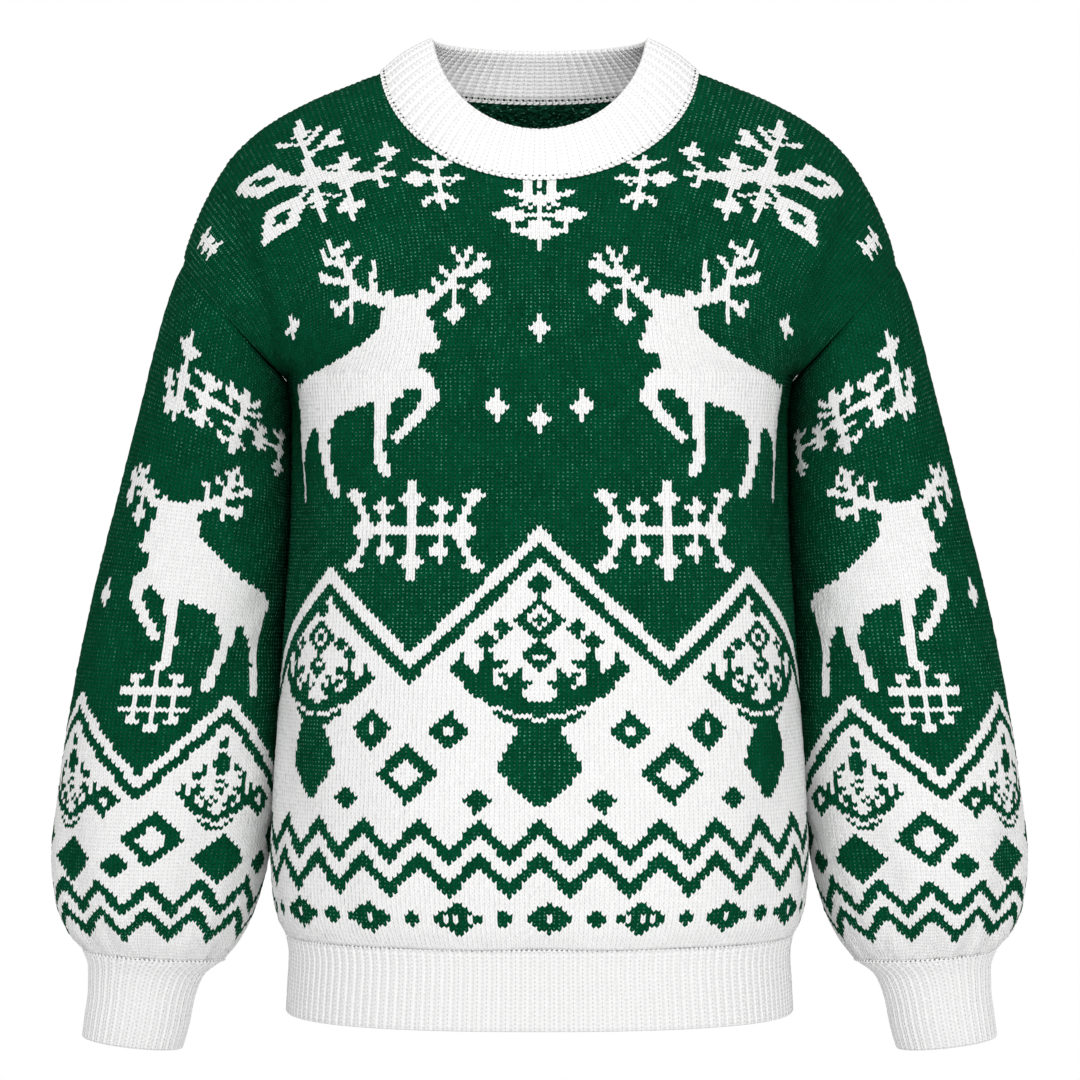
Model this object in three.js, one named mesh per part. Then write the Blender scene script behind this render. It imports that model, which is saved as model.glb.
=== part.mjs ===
// A knitted christmas sweater, filled out as if it were worn, with nobody in it.
// Units are millimetres. Seen from the front, X goes right, Y goes away from the eye and Z goes up.
// The origin is the middle of the neck opening, level with the points where shoulder and neckband meet.
// Every piece is a thin wall of cloth: two skins worked out from the sections below, joined by rims.

import * as THREE from "three";

// Driving dimensions
const WALL = 3; // thickness of the two-colour jersey, floats included
const RIB_WALL = 2.6; // thickness of the rib bands in their grooves
const RIB_RISE = 1.2; // how far a rib stands above its groove
const SEAM_GAP = 0.3; // clear space between neighbouring pieces
const COLLAR_GAP = 0.65; // wider, because the neck edge is cut into flat facets

const HEM_SEAM_Z = -593; // where the body is linked to the hem rib
const UNDERARM = { x: 175, z: -212 };
const SHOULDER_TIP = { x: 246, z: -134 }; // where the drop shoulder meets the sleeve
const ARMHOLE_HALF_DEPTH = 82;
const RIDGE = 6; // how far the shoulder seams would rise from the neckband if they met in the middle
// The lower and upper edge of the neckband. soft rounds the edge off where it crosses the shoulder.
const NECK = { halfWidth: 109, front: 100, back: 75, height: 0, frontDrop: 84, backDrop: 13, soft: 0.1 };
const NECK_TOP = { halfWidth: 75, front: 85, back: 60, height: 22, frontDrop: 71.5, backDrop: 1, soft: 0.15 };
const COLLAR_CROWN = 2; // the neckband bows outward by this much halfway up

const BODY_LENGTH = UNDERARM.z - HEM_SEAM_Z; // hem seam to underarm, along the panel
const YOKE_LENGTH = 250; // underarm to shoulder seam, along the panel
const SLEEVE_LENGTH = 450; // armhole to cuff seam, along the middle of the sleeve

const HEM_RIBS = 76; // on each half of the hem
const CUFF_RIBS = 40;
const COLLAR_RIBS = 80;
const POINTS_PER_RIB = 2; // a groove and a crest
const RIB_POINTS_PER_INNER = 4; // the plain inside of a rib band is this much coarser

// Level sections of the body, from the hem seam up to the underarm.
const BODY_SECTIONS = [
  { z: -593, halfWidth: 174.5, front: 121.5, back: 117 },
  { z: -583, halfWidth: 179.5, front: 127, back: 121 },
  { z: -566, halfWidth: 183.5, front: 131, back: 124 },
  { z: -540, halfWidth: 185, front: 133, back: 125 },
  { z: -500, halfWidth: 183.5, front: 133, back: 125 },
  { z: -433, halfWidth: 179.5, front: 131, back: 124 },
  { z: -364, halfWidth: 174.5, front: 129, back: 121 },
  { z: -295, halfWidth: 171, front: 127, back: 118 },
  { z: -240, halfWidth: 171.2, front: 125, back: 115 },
  { z: -212, halfWidth: 175, front: 123, back: 114 },
];
const BODY_SQUARENESS = 2.4; // 2 is an ellipse, more is squarer

// The middle line of the yoke, as a share of the way from the underarm to the shoulder seam.
// turn is how far the row has turned from facing forward when it reaches the armhole, in degrees.
const YOKE_ROWS = [
  { share: 0, frontY: -123, frontZ: -212, backY: 114, backZ: -212, turn: 90 },
  { share: 0.2, frontY: -120.5, frontZ: -163, backY: 115, backZ: -160, turn: 90 },
  { share: 0.4, frontY: -111, frontZ: -116, backY: 111, backZ: -108, turn: 82 },
  { share: 0.55, frontY: -99, frontZ: -83, backY: 105, backZ: -70, turn: 66 },
  { share: 0.7, frontY: -71, frontZ: -55.5, backY: 95, backZ: -37, turn: 60 },
  { share: 0.85, frontY: -37, frontZ: -21.5, backY: 72, backZ: -12, turn: 60 },
  { share: 0.93, frontY: -18, frontZ: -4, backY: 36, backZ: 0.5, turn: 60 },
  { share: 1, frontY: 0, frontZ: RIDGE, backY: 0, backZ: RIDGE, turn: 60 },
];

// The shoulder seam as seen from the front: how far it has dropped at each distance from the middle.
const SHOULDER_SLOPE = [
  { x: 0, drop: 0 },
  { x: 55, drop: 1 },
  { x: 85, drop: 3 },
  { x: 109, drop: RIDGE },
  { x: 131.5, drop: RIDGE + 8 },
  { x: 156, drop: RIDGE + 18 },
  { x: 190, drop: RIDGE + 37 },
  { x: 211.5, drop: RIDGE + 57 },
  { x: 229, drop: RIDGE + 86 },
  { x: 240.5, drop: RIDGE + 114 },
  { x: SHOULDER_TIP.x, drop: RIDGE - SHOULDER_TIP.z },
];

const ARMHOLE_OVAL = {
  inX: UNDERARM.x,
  inZ: UNDERARM.z,
  outX: SHOULDER_TIP.x,
  outZ: SHOULDER_TIP.z,
  halfDepth: ARMHOLE_HALF_DEPTH,
};
const CUFF_SEAM = { inX: 219.5, inZ: -615, outX: 318.5, outZ: -608.5, halfDepth: 42, midY: 30, square: 2 };

// Slanted sections of a sleeve. Each runs from the side next to the body to the outer side.
const SLEEVE_SECTIONS = [
  { down: 0, ...ARMHOLE_OVAL, midY: 0, square: 2.1 },
  { down: 25, inX: 175.5, inZ: -233, outX: 256.5, outZ: -161, halfDepth: 83, midY: 5, square: 2.15 },
  { down: 75, inX: 172.4, inZ: -267, outX: 274.5, outZ: -225, halfDepth: 80, midY: 16, square: 2.2 },
  { down: 135, inX: 171.2, inZ: -315, outX: 293.5, outZ: -295, halfDepth: 76, midY: 25, square: 2.2 },
  { down: 200, inX: 174, inZ: -372, outX: 311.5, outZ: -364, halfDepth: 73, midY: 30, square: 2.2 },
  { down: 265, inX: 178.5, inZ: -437, outX: 326, outZ: -434, halfDepth: 71, midY: 32, square: 2.2 },
  { down: 335, inX: 183.5, inZ: -505, outX: 336.5, outZ: -504, halfDepth: 69, midY: 33, square: 2.2 },
  { down: 380, inX: 190, inZ: -549, outX: 341, outZ: -548, halfDepth: 67, midY: 33, square: 2.2 },
  { down: 408, inX: 197.5, inZ: -577, outX: 338.5, outZ: -574, halfDepth: 62, midY: 32, square: 2.1 },
  { down: 432, inX: 208, inZ: -600, outX: 331, outZ: -595, halfDepth: 52, midY: 31, square: 2.1 },
  { down: SLEEVE_LENGTH, ...CUFF_SEAM },
];

// Slanted sections of a cuff, from its seam down.
const CUFF_SECTIONS = [
  { down: 0, ...CUFF_SEAM },
  { down: 11, inX: 234, inZ: -626, outX: 315, outZ: -620, halfDepth: 35, midY: 30, square: 2 },
  { down: 27, inX: 240.5, inZ: -642, outX: 315, outZ: -635, halfDepth: 31.5, midY: 29, square: 2 },
  { down: 44, inX: 244, inZ: -660, outX: 317, outZ: -652, halfDepth: 30.5, midY: 28, square: 2 },
  { down: 60, inX: 248.5, inZ: -676, outX: 319, outZ: -667.5, halfDepth: 30.5, midY: 28, square: 2 },
];

// Level sections of the hem rib, from its seam down.
const HEM_SECTIONS = [
  { z: HEM_SEAM_Z - SEAM_GAP, halfWidth: 174.5, front: 121.5, back: 117 },
  { z: -606, halfWidth: 172.5, front: 120.5, back: 116 },
  { z: -626, halfWidth: 173.5, front: 122.5, back: 117 },
  { z: -645, halfWidth: 174.5, front: 125, back: 119 },
];

// The largest folds of the body. across runs from -1 at one side edge to 1 at the other, up is the
// distance above the hem seam, and depth is below zero for a trough. Each lies on both sides.
const FRONT_FOLDS = [
  { across: 0.8, up: 590, toAcross: 0.93, toUp: 430, width: 13, depth: -9 },
  { across: 0.97, up: 395, toAcross: 0.72, toUp: 250, width: 17, depth: -5 },
  { across: 0.86, up: 170, toAcross: 0.6, toUp: 45, width: 24, depth: -4 },
  { across: 0.3, up: 150, toAcross: 0.42, toUp: 10, width: 30, depth: 3 },
];
const BACK_FOLDS = [
  { across: 0.82, up: 595, toAcross: 0.94, toUp: 430, width: 14, depth: -9 },
  { across: 0.97, up: 395, toAcross: 0.6, toUp: 300, width: 18, depth: -6 },
  { across: 0.45, up: 330, toAcross: 0.62, toUp: 60, width: 26, depth: -5 },
  { across: 0.12, up: 200, toAcross: 0.2, toUp: 20, width: 28, depth: 4 },
];

// The largest folds of a sleeve. around is in degrees from the underarm, over the front.
const SLEEVE_FOLDS = [
  { around: 35, down: 40, toAround: 95, toDown: 150, width: 16, depth: -6 },
  { around: 330, down: 50, toAround: 262, toDown: 165, width: 17, depth: -6 },
  { around: 20, down: 215, toAround: 100, toDown: 262, width: 17, depth: -6 },
  { around: 345, down: 230, toAround: 265, toDown: 285, width: 18, depth: -6 },
  { around: 150, down: 330, toAround: 128, toDown: 440, width: 17, depth: -5 },
  { around: 60, down: 345, toAround: 70, toDown: 442, width: 15, depth: -5 },
  { around: 215, down: 340, toAround: 235, toDown: 440, width: 17, depth: -5 },
  { around: 300, down: 350, toAround: 292, toDown: 442, width: 15, depth: -5 },
];

// Where the panels and sleeves have their rows of points.
const PANEL_ROWS = [0, 9, 24, 50, 95, 145, 195, 250, 300, 345, 381];
const YOKE_STEPS = 9;
const SHOULDER_STOPS = [0.1, 0.22, 0.36, 0.5, 0.64, 0.77, 0.89, 1];
const NECK_STEPS = 10; // columns from the middle of the neck to the shoulder point
const NECK_REACH = 0.42; // share across the panel of the column that ends at the shoulder point
const NECK_LEAN = 3; // the power by which the columns lean over to the neck
const SLEEVE_ROWS = [0, 10, 25, 50, 80, 110, 140, 175, 210, 240, 270, 305, 345, 380, 405, 422, 438, 450];
const SLEEVE_POINTS = 26;
const HEM_ROWS = [HEM_SECTIONS[0].z, -606, -645];
const CUFF_ROWS = [0, 12, 60];
const COLLAR_ROWS = [0, 0.5, 1];
const OUTLINE_SAMPLES = 60; // points used to measure a section's length
const EDGE_FADE = 22; // folds die away over this distance from a seam
const FOLD_END = 0.35; // how deep a fold still is at its two ends, as a share
const HALVINGS = 30; // of a stretch, when a place is searched for

const GREEN = 0x0b5236;
const WHITE = 0xf1f1ef;

// Plain helpers
const degrees = (angle) => (angle * Math.PI) / 180;
const mix = (a, b, share) => a + (b - a) * share;
const point = (x, y, z) => new THREE.Vector3(x, y, z);

function smoothStep(value) {
  const t = Math.min(1, Math.max(0, value));
  return t * t * (3 - 2 * t);
}

// A power that keeps the sign, for squared-off ellipses.
function signedPower(value, power) {
  return Math.sign(value) * Math.abs(value) ** power;
}

// Reads column `name` of a table at `at`, by a smooth curve through its rows that never overshoots.
function readTable(table, key, name, at) {
  const last = table.length - 1;
  const rising = table[last][key] > table[0][key] ? 1 : -1;
  let i = 0;
  while (i < last - 1 && (at - table[i + 1][key]) * rising > 0) i += 1;
  const slope = (k) => (table[k + 1][name] - table[k][name]) / (table[k + 1][key] - table[k][key]);
  const tangent = (k) => {
    if (k === 0) return slope(0);
    if (k === last) return slope(last - 1);
    const before = slope(k - 1);
    const after = slope(k);
    return before * after <= 0 ? 0 : (2 * before * after) / (before + after);
  };
  const step = table[i + 1][key] - table[i][key];
  const t = Math.min(1, Math.max(0, (at - table[i][key]) / step));
  const a = table[i][name];
  const b = table[i + 1][name];
  const ease = t * t * (3 - 2 * t);
  const leave = t * (1 - t) * (1 - t) * step * tangent(i);
  const arrive = t * t * (t - 1) * step * tangent(i + 1);
  return mix(a, b, ease) + leave + arrive;
}

// Sleeves, cuffs and armholes: a slanted oval between an inner and an outer point
const SLEEVE_KEYS = ["inX", "inZ", "outX", "outZ", "halfDepth", "midY", "square"];

function sleeveSection(table, down) {
  return Object.fromEntries(SLEEVE_KEYS.map((name) => [name, readTable(table, "down", name, down)]));
}

// angle 0 is the side next to the body, 90 degrees the front, 180 degrees the outer side.
// grow moves the point square to the oval, in its own plane.
function ovalPoint(section, angle, grow = 0) {
  const alongX = section.outX - section.inX;
  const alongZ = section.outZ - section.inZ;
  const length = Math.hypot(alongX, alongZ);
  const along = signedPower(-Math.cos(angle), 2 / section.square) * (length / 2 + grow);
  const forward = signedPower(Math.sin(angle), 2 / section.square) * (section.halfDepth + grow);
  return point(
    (section.inX + section.outX) / 2 + (alongX / length) * along,
    section.midY - forward,
    (section.inZ + section.outZ) / 2 + (alongZ / length) * along,
  );
}

const ARMHOLE = sleeveSection(SLEEVE_SECTIONS, 0);

// Body panels: rows that run from the middle of the panel to its side edge
// A row holds the middle point, the edge point and the shape of the curve between them.
function bodyRow(side, up) {
  if (up <= BODY_LENGTH) {
    const z = HEM_SEAM_Z + up;
    return {
      midY: side * readTable(BODY_SECTIONS, "z", side < 0 ? "front" : "back", z),
      midZ: z,
      edge: point(readTable(BODY_SECTIONS, "z", "halfWidth", z), 0, z),
      turn: 90,
    };
  }
  const share = Math.min(1, (up - BODY_LENGTH) / YOKE_LENGTH);
  const name = side < 0 ? "front" : "back";
  const edge = ovalPoint(ARMHOLE, Math.PI * share);
  return {
    midY: readTable(YOKE_ROWS, "share", name + "Y", share),
    midZ: readTable(YOKE_ROWS, "share", name + "Z", share),
    edge: point(edge.x, -side * edge.y, edge.z),
    turn: readTable(YOKE_ROWS, "share", "turn", share),
  };
}

// A point of a row at `angle`, from 0 in the middle to the row's turn at its edge.
function rowPoint(row, angle) {
  const power = 2 / BODY_SQUARENESS;
  const end = degrees(row.turn);
  const reach = (Math.sin(angle) / Math.sin(end)) ** power;
  const endCosine = Math.max(0, Math.cos(end)) ** power;
  const middleShare = (Math.max(0, Math.cos(angle)) ** power - endCosine) / (1 - endCosine);
  const slopeX = reach * SHOULDER_TIP.x;
  const drop = readTable(SHOULDER_SLOPE, "x", "drop", slopeX) / (RIDGE - SHOULDER_TIP.z);
  return point(
    row.edge.x * reach,
    mix(row.edge.y, row.midY, middleShare),
    mix(row.midZ, row.edge.z, drop),
  );
}

// The point at an even share of a row's length, so that the columns of stitches are evenly spaced.
function rowAt(row, across) {
  const outline = [];
  const lengths = [0];
  for (let i = 0; i <= OUTLINE_SAMPLES; i += 1) {
    outline.push(rowPoint(row, (degrees(row.turn) * i) / OUTLINE_SAMPLES));
    if (i > 0) lengths.push(lengths[i - 1] + outline[i].distanceTo(outline[i - 1]));
  }
  const wanted = Math.min(1, Math.abs(across)) * lengths[OUTLINE_SAMPLES];
  let i = 1;
  while (i < OUTLINE_SAMPLES && lengths[i] < wanted) i += 1;
  const share = (wanted - lengths[i - 1]) / (lengths[i] - lengths[i - 1]);
  const found = outline[i - 1].clone().lerp(outline[i], share);
  return found.setX(found.x * Math.sign(across));
}

function panelPoint(side, across, up) {
  return rowAt(bodyRow(side, up), across);
}

function panelNormal(side, across, up) {
  const stepAcross = 0.004;
  const stepUp = 2;
  const left = panelPoint(side, Math.max(-1, across - stepAcross), up);
  const right = panelPoint(side, Math.min(1, across + stepAcross), up);
  const below = panelPoint(side, across, Math.max(0, up - stepUp));
  const above = panelPoint(side, across, Math.min(BODY_LENGTH + YOKE_LENGTH, up + stepUp));
  return right.sub(left).cross(above.sub(below)).multiplyScalar(-side).normalize();
}

// Neck edge and neckband
// ramp runs from 0 at the side of the neck to 1 in the middle, with a soft start.
function ramp(cosine, soft) {
  return (Math.hypot(cosine, soft) - soft) / (Math.hypot(1, soft) - soft);
}

// The point at `angle` of one edge of the neckband, where 0 is the middle of the front.
function edgePoint(edge, angle) {
  const forward = Math.cos(angle);
  const drop = forward > 0 ? edge.frontDrop : edge.backDrop;
  return point(
    edge.halfWidth * Math.sin(angle),
    -forward * (forward > 0 ? edge.front : edge.back),
    edge.height - drop * ramp(forward, edge.soft),
  );
}

const neckEdge = (angle) => edgePoint(NECK, angle);
const neckTop = (angle) => edgePoint(NECK_TOP, angle);

function bandDirection(angle) {
  return neckTop(angle).sub(neckEdge(angle)).normalize();
}

function bandNormal(angle) {
  const step = 0.02;
  const tangent = neckEdge(angle + step).sub(neckEdge(angle - step));
  return tangent.cross(bandDirection(angle)).normalize();
}

// Halves the stretch between low and high until isBelow changes there.
function bisect(low, high, isBelow) {
  for (let i = 0; i < HALVINGS; i += 1) {
    const middle = (low + high) / 2;
    if (isBelow(middle)) low = middle;
    else high = middle;
  }
  return low;
}

// The place on a panel that lies under the neck edge at `angle` from the middle. The search goes up
// the panel at one share across it, and across the inner half of the panel.
function neckPlace(side, angle) {
  const target = neckEdge(side < 0 ? angle : Math.PI - angle);
  const isInFront = (across, up) => Math.abs(panelPoint(side, across, up).y) > Math.abs(target.y);
  const upAt = (across) => bisect(BODY_LENGTH, BODY_LENGTH + YOKE_LENGTH, (up) => isInFront(across, up));
  const across = bisect(0, 0.5, (share) => panelPoint(side, share, upAt(share)).x < target.x);
  return { across, up: upAt(across) };
}

// How far the folds move the cloth at a point, in millimetres, with each fold tapered to its ends.
function foldHeight(folds, x, y, fromOf, toOf) {
  let height = 0;
  for (const fold of folds) {
    const from = fromOf(fold);
    const to = toOf(fold);
    const length = Math.hypot(to.x - from.x, to.y - from.y);
    const share = ((x - from.x) * (to.x - from.x) + (y - from.y) * (to.y - from.y)) / length ** 2;
    const t = Math.min(1, Math.max(0, share));
    const away = Math.hypot(x - mix(from.x, to.x, t), y - mix(from.y, to.y, t));
    const body = Math.exp(-((away / fold.width) ** 2));
    height += fold.depth * body * mix(FOLD_END, 1, Math.sin(Math.PI * t));
  }
  return height;
}

const PANEL_HALF_WIDTH = 250; // turns a share across the panel into millimetres, for the folds

function panelFold(side, across, up, top) {
  const folds = side < 0 ? FRONT_FOLDS : BACK_FOLDS;
  const fade =
    smoothStep(((1 - Math.abs(across)) * PANEL_HALF_WIDTH) / EDGE_FADE) *
    smoothStep(up / EDGE_FADE) *
    smoothStep((top - up) / EDGE_FADE);
  const height = foldHeight(
    folds,
    Math.abs(across) * PANEL_HALF_WIDTH,
    up,
    (fold) => ({ x: fold.across * PANEL_HALF_WIDTH, y: fold.up }),
    (fold) => ({ x: fold.toAcross * PANEL_HALF_WIDTH, y: fold.toUp }),
  );
  return height * fade;
}

const SLEEVE_RADIUS = 70; // turns an angle round the sleeve into millimetres, for the folds

function sleeveFold(angle, down) {
  const fade = smoothStep(down / EDGE_FADE) * smoothStep((SLEEVE_LENGTH - down) / EDGE_FADE);
  const height = foldHeight(
    SLEEVE_FOLDS,
    angle * SLEEVE_RADIUS,
    down,
    (fold) => ({ x: degrees(fold.around) * SLEEVE_RADIUS, y: fold.down }),
    (fold) => ({ x: degrees(fold.toAround) * SLEEVE_RADIUS, y: fold.toDown }),
  );
  return height * fade;
}

// A closed wall from rows of outer points and rows of inner points. A row of the inside may hold
// fewer points than the outside, by a whole number of times. closed joins the last column to the first.
function wall(outer, inner, closed) {
  const rows = outer.length;
  const outerCount = outer[0].length;
  const innerCount = inner[0].length;
  const positions = [];
  const indices = [];
  for (const p of [...outer.flat(), ...inner.flat()]) positions.push(p.x, p.y, p.z);
  const outerAt = (row, i) => row * outerCount + (i % outerCount);
  const innerAt = (row, i) => rows * outerCount + row * innerCount + (i % innerCount);
  const quad = (a, b, c, d) => indices.push(a, b, c, a, c, d);
  const outerSteps = closed ? outerCount : outerCount - 1;
  const innerSteps = closed ? innerCount : innerCount - 1;
  const ratio = outerSteps / innerSteps;
  for (let row = 0; row < rows - 1; row += 1) {
    for (let i = 0; i < outerSteps; i += 1) {
      quad(outerAt(row, i), outerAt(row, i + 1), outerAt(row + 1, i + 1), outerAt(row + 1, i));
    }
    for (let i = 0; i < innerSteps; i += 1) {
      quad(innerAt(row, i + 1), innerAt(row, i), innerAt(row + 1, i), innerAt(row + 1, i + 1));
    }
    if (!closed) {
      quad(innerAt(row, 0), outerAt(row, 0), outerAt(row + 1, 0), innerAt(row + 1, 0));
      const o = outerSteps;
      const n = innerSteps;
      quad(outerAt(row, o), innerAt(row, n), innerAt(row + 1, n), outerAt(row + 1, o));
    }
  }
  // The two rims, each a fan from every inner point to the outer points nearest it.
  const half = Math.floor(ratio / 2);
  for (const [row, turn] of [
    [0, false],
    [rows - 1, true],
  ]) {
    const triangle = (a, b, c) => (turn ? indices.push(a, b, c) : indices.push(c, b, a));
    for (let i = 0; i < innerSteps; i += 1) {
      for (let k = 0; k < ratio; k += 1) {
        const near = k < half ? i : i + 1;
        triangle(outerAt(row, i * ratio + k), outerAt(row, i * ratio + k + 1), innerAt(row, near));
      }
      triangle(innerAt(row, i), outerAt(row, i * ratio + half), innerAt(row, i + 1));
    }
  }
  const geometry = new THREE.BufferGeometry();
  geometry.setAttribute("position", new THREE.Float32BufferAttribute(positions, 3));
  geometry.setIndex(indices);
  if (signedVolume(geometry) < 0) geometry.setIndex(indices.reverse());
  geometry.computeVertexNormals();
  return geometry;
}

function signedVolume(geometry) {
  const place = geometry.getAttribute("position");
  const index = geometry.index.array;
  const corner = (k) => new THREE.Vector3().fromBufferAttribute(place, index[k]);
  let volume = 0;
  for (let k = 0; k < index.length; k += 3) {
    volume += corner(k).dot(corner(k + 1).cross(corner(k + 2))) / 6;
  }
  return volume;
}

// The pieces
// Columns of a panel: close together round the neck, then out along the shoulder.
const SHOULDER_POINT = NECK.halfWidth / shoulderSeamLength(); // share across at the neck's corner

function shoulderSeamLength() {
  let length = 0;
  let before = point(0, 0, 0);
  for (let x = 1; x <= SHOULDER_TIP.x; x += 1) {
    const next = point(x, 0, -readTable(SHOULDER_SLOPE, "x", "drop", x));
    length += next.distanceTo(before);
    before = next;
  }
  return length;
}

// Each column has its share across the panel below the yoke and where it ends at the top. Round the
// neck the columns end at even angles, so they lean towards it in the yoke, most of all near the top.
function panelColumns(side) {
  const shoulderTop = BODY_LENGTH + YOKE_LENGTH;
  const half = [];
  for (let i = 1; i < NECK_STEPS; i += 1) {
    const angle = ((Math.PI / 2) * i) / NECK_STEPS;
    const top = neckPlace(side, angle);
    half.push({ across: NECK_REACH * Math.sin(angle), topAcross: top.across, topUp: top.up, angle });
  }
  half.push({ across: NECK_REACH, topAcross: SHOULDER_POINT, topUp: shoulderTop, angle: Math.PI / 2 });
  for (const stop of SHOULDER_STOPS) {
    const [across, topAcross] = [mix(NECK_REACH, 1, stop), mix(SHOULDER_POINT, 1, stop)];
    half.push({ across, topAcross, topUp: shoulderTop, angle: null });
  }
  const middle = { across: 0, topAcross: 0, topUp: neckPlace(side, 0).up, angle: 0 };
  const flip = (column) => ({
    across: -column.across,
    topAcross: -column.topAcross,
    topUp: column.topUp,
    angle: column.angle === null ? null : -column.angle,
  });
  return [...half.map(flip).reverse(), middle, ...half];
}

function panelGeometry(side) {
  const yokeShares = Array.from({ length: YOKE_STEPS }, (_, i) => (i + 1) / YOKE_STEPS);
  const columns = panelColumns(side).map((column) => {
    const neckAngle = side < 0 || column.angle === null ? column.angle : Math.PI - column.angle;
    const end = column.angle === null ? null : neckEdge(neckAngle);
    const miss = end ? end.sub(panelPoint(side, column.topAcross, column.topUp)) : point(0, 0, 0);
    const body = PANEL_ROWS.map((up) => {
      const place = { across: column.across, up, topUp: column.topUp, neckAngle: null };
      return panelPair(side, place, miss, 0);
    });
    const yoke = yokeShares.map((share) => {
      const place = {
        across: mix(column.across, column.topAcross, share ** NECK_LEAN),
        up: mix(BODY_LENGTH, column.topUp, share),
        topUp: column.topUp,
        neckAngle: share === 1 ? neckAngle : null,
      };
      return panelPair(side, place, miss, share);
    });
    return [...body, ...yoke];
  });
  const rowsOf = (layer) =>
    columns[0].map((_, row) => columns.map((column) => column[row][layer]));
  return wall(rowsOf("outer"), rowsOf("inner"), false);
}

// The outer and inner point of a panel at one place. Along a seam the wall ends square to it.
// settle is how much of the miss is taken up, so that the panel ends exactly on the neck edge.
function panelPair(side, place, miss, settle) {
  const { across, up, topUp, neckAngle } = place;
  const outer = panelPoint(side, across, up).addScaledVector(miss, smoothStep(settle));
  const normal = panelNormal(side, across, up);
  if (Math.abs(across) === 1 && up > BODY_LENGTH) {
    const angle = (Math.PI * (up - BODY_LENGTH)) / YOKE_LENGTH;
    const inside = ovalPoint(ARMHOLE, angle, -WALL);
    const inner = point(inside.x * Math.sign(across), -side * inside.y, inside.z);
    return { outer: moved(outer, side), inner: moved(inner, side) };
  }
  const atNeck = typeof neckAngle === "number";
  if (Math.abs(across) === 1 || (settle === 1 && !atNeck)) normal.setY(0).normalize();
  if (up === 0) normal.setZ(0).normalize();
  if (atNeck) normal.copy(bandNormal(neckAngle));
  outer.addScaledVector(normal, panelFold(side, across, up, topUp));
  return { outer: moved(outer, side), inner: moved(outer.clone().addScaledVector(normal, -WALL), side) };
}

// Half of the seam gap between the front and the back.
function moved(place, side) {
  return place.setY(place.y + (side * SEAM_GAP) / 2);
}

function mirrored(place, hand) {
  return place.setX(place.x * hand);
}

function sleeveGeometry(hand) {
  const across = { x: ARMHOLE.outX - ARMHOLE.inX, z: ARMHOLE.outZ - ARMHOLE.inZ };
  const length = Math.hypot(across.x, across.z);
  const clear = point((across.z / length) * SEAM_GAP, 0, (-across.x / length) * SEAM_GAP);
  const layer = (thickness) =>
    SLEEVE_ROWS.map((down) => {
      const section = sleeveSection(SLEEVE_SECTIONS, down);
      const share = 1 - smoothStep(down / EDGE_FADE);
      return Array.from({ length: SLEEVE_POINTS }, (_, i) => {
        const angle = (2 * Math.PI * i) / SLEEVE_POINTS;
        const place = ovalPoint(section, angle, sleeveFold(angle, down) - thickness);
        return mirrored(place.addScaledVector(clear, share), hand);
      });
    });
  return wall(layer(0), layer(WALL), true);
}

function cuffGeometry(hand) {
  const count = CUFF_RIBS * POINTS_PER_RIB;
  const layer = (points, growAt) =>
    CUFF_ROWS.map((down) => {
      const section = sleeveSection(CUFF_SECTIONS, down);
      return Array.from({ length: points }, (_, i) => {
        const place = ovalPoint(section, (2 * Math.PI * i) / points, growAt(i));
        return mirrored(place.setZ(place.z - SEAM_GAP), hand);
      });
    });
  const outer = layer(count, (i) => (i % POINTS_PER_RIB === 0 ? -RIB_RISE : 0));
  const inner = layer(count / RIB_POINTS_PER_INNER, () => -RIB_RISE - RIB_WALL);
  return wall(outer, inner, true);
}

// Half of the hem band. Its ribs run up and down, with a groove at each side seam.
function hemGeometry(side) {
  const depth = side < 0 ? "front" : "back";
  const count = HEM_RIBS * POINTS_PER_RIB;
  const layer = (steps, growAt) =>
    HEM_ROWS.map((z) => {
      const row = {
        midY: side * readTable(HEM_SECTIONS, "z", depth, z),
        midZ: z,
        edge: point(readTable(HEM_SECTIONS, "z", "halfWidth", z), 0, z),
        turn: 90,
      };
      const stops = Array.from({ length: steps + 1 }, (_, i) => mix(-1, 1, i / steps));
      return stops.map((across, i) => hemPoint(side, row, across, growAt(i)));
    });
  const outer = layer(count, (i) => (i % POINTS_PER_RIB === 0 ? -RIB_RISE : 0));
  const inner = layer(count / RIB_POINTS_PER_INNER, () => -RIB_RISE - RIB_WALL);
  return wall(outer, inner, false);
}

function hemPoint(side, row, across, grow) {
  const step = 0.002;
  const tangent = rowAt(row, Math.min(1, across + step)).sub(rowAt(row, Math.max(-1, across - step)));
  const normal = point(tangent.y, -tangent.x, 0).multiplyScalar(-side).normalize();
  if (Math.abs(across) === 1) normal.set(Math.sign(across), 0, 0);
  return moved(rowAt(row, across).addScaledVector(normal, grow), side);
}

function collarGeometry() {
  const count = COLLAR_RIBS * POINTS_PER_RIB;
  const layer = (points, growAt) =>
    COLLAR_ROWS.map((share) =>
      Array.from({ length: points }, (_, i) => {
        const angle = (2 * Math.PI * i) / points;
        const place = neckEdge(angle).addScaledVector(bandDirection(angle), COLLAR_GAP);
        place.lerp(neckTop(angle), share);
        const crown = COLLAR_CROWN * Math.sin(Math.PI * share);
        return place.addScaledVector(bandNormal(angle), crown + growAt(i));
      }),
    );
  const outer = layer(count, (i) => (i % POINTS_PER_RIB === 0 ? 0 : RIB_RISE));
  const inner = layer(count / RIB_POINTS_PER_INNER, () => -RIB_WALL);
  return wall(outer, inner, true);
}

// The finished group
const group = new THREE.Group();

function addPiece(name, geometry, color, roughness) {
  const material = new THREE.MeshStandardMaterial({ color, roughness, metalness: 0 });
  const mesh = new THREE.Mesh(geometry, material);
  mesh.name = name;
  group.add(mesh);
}

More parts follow.
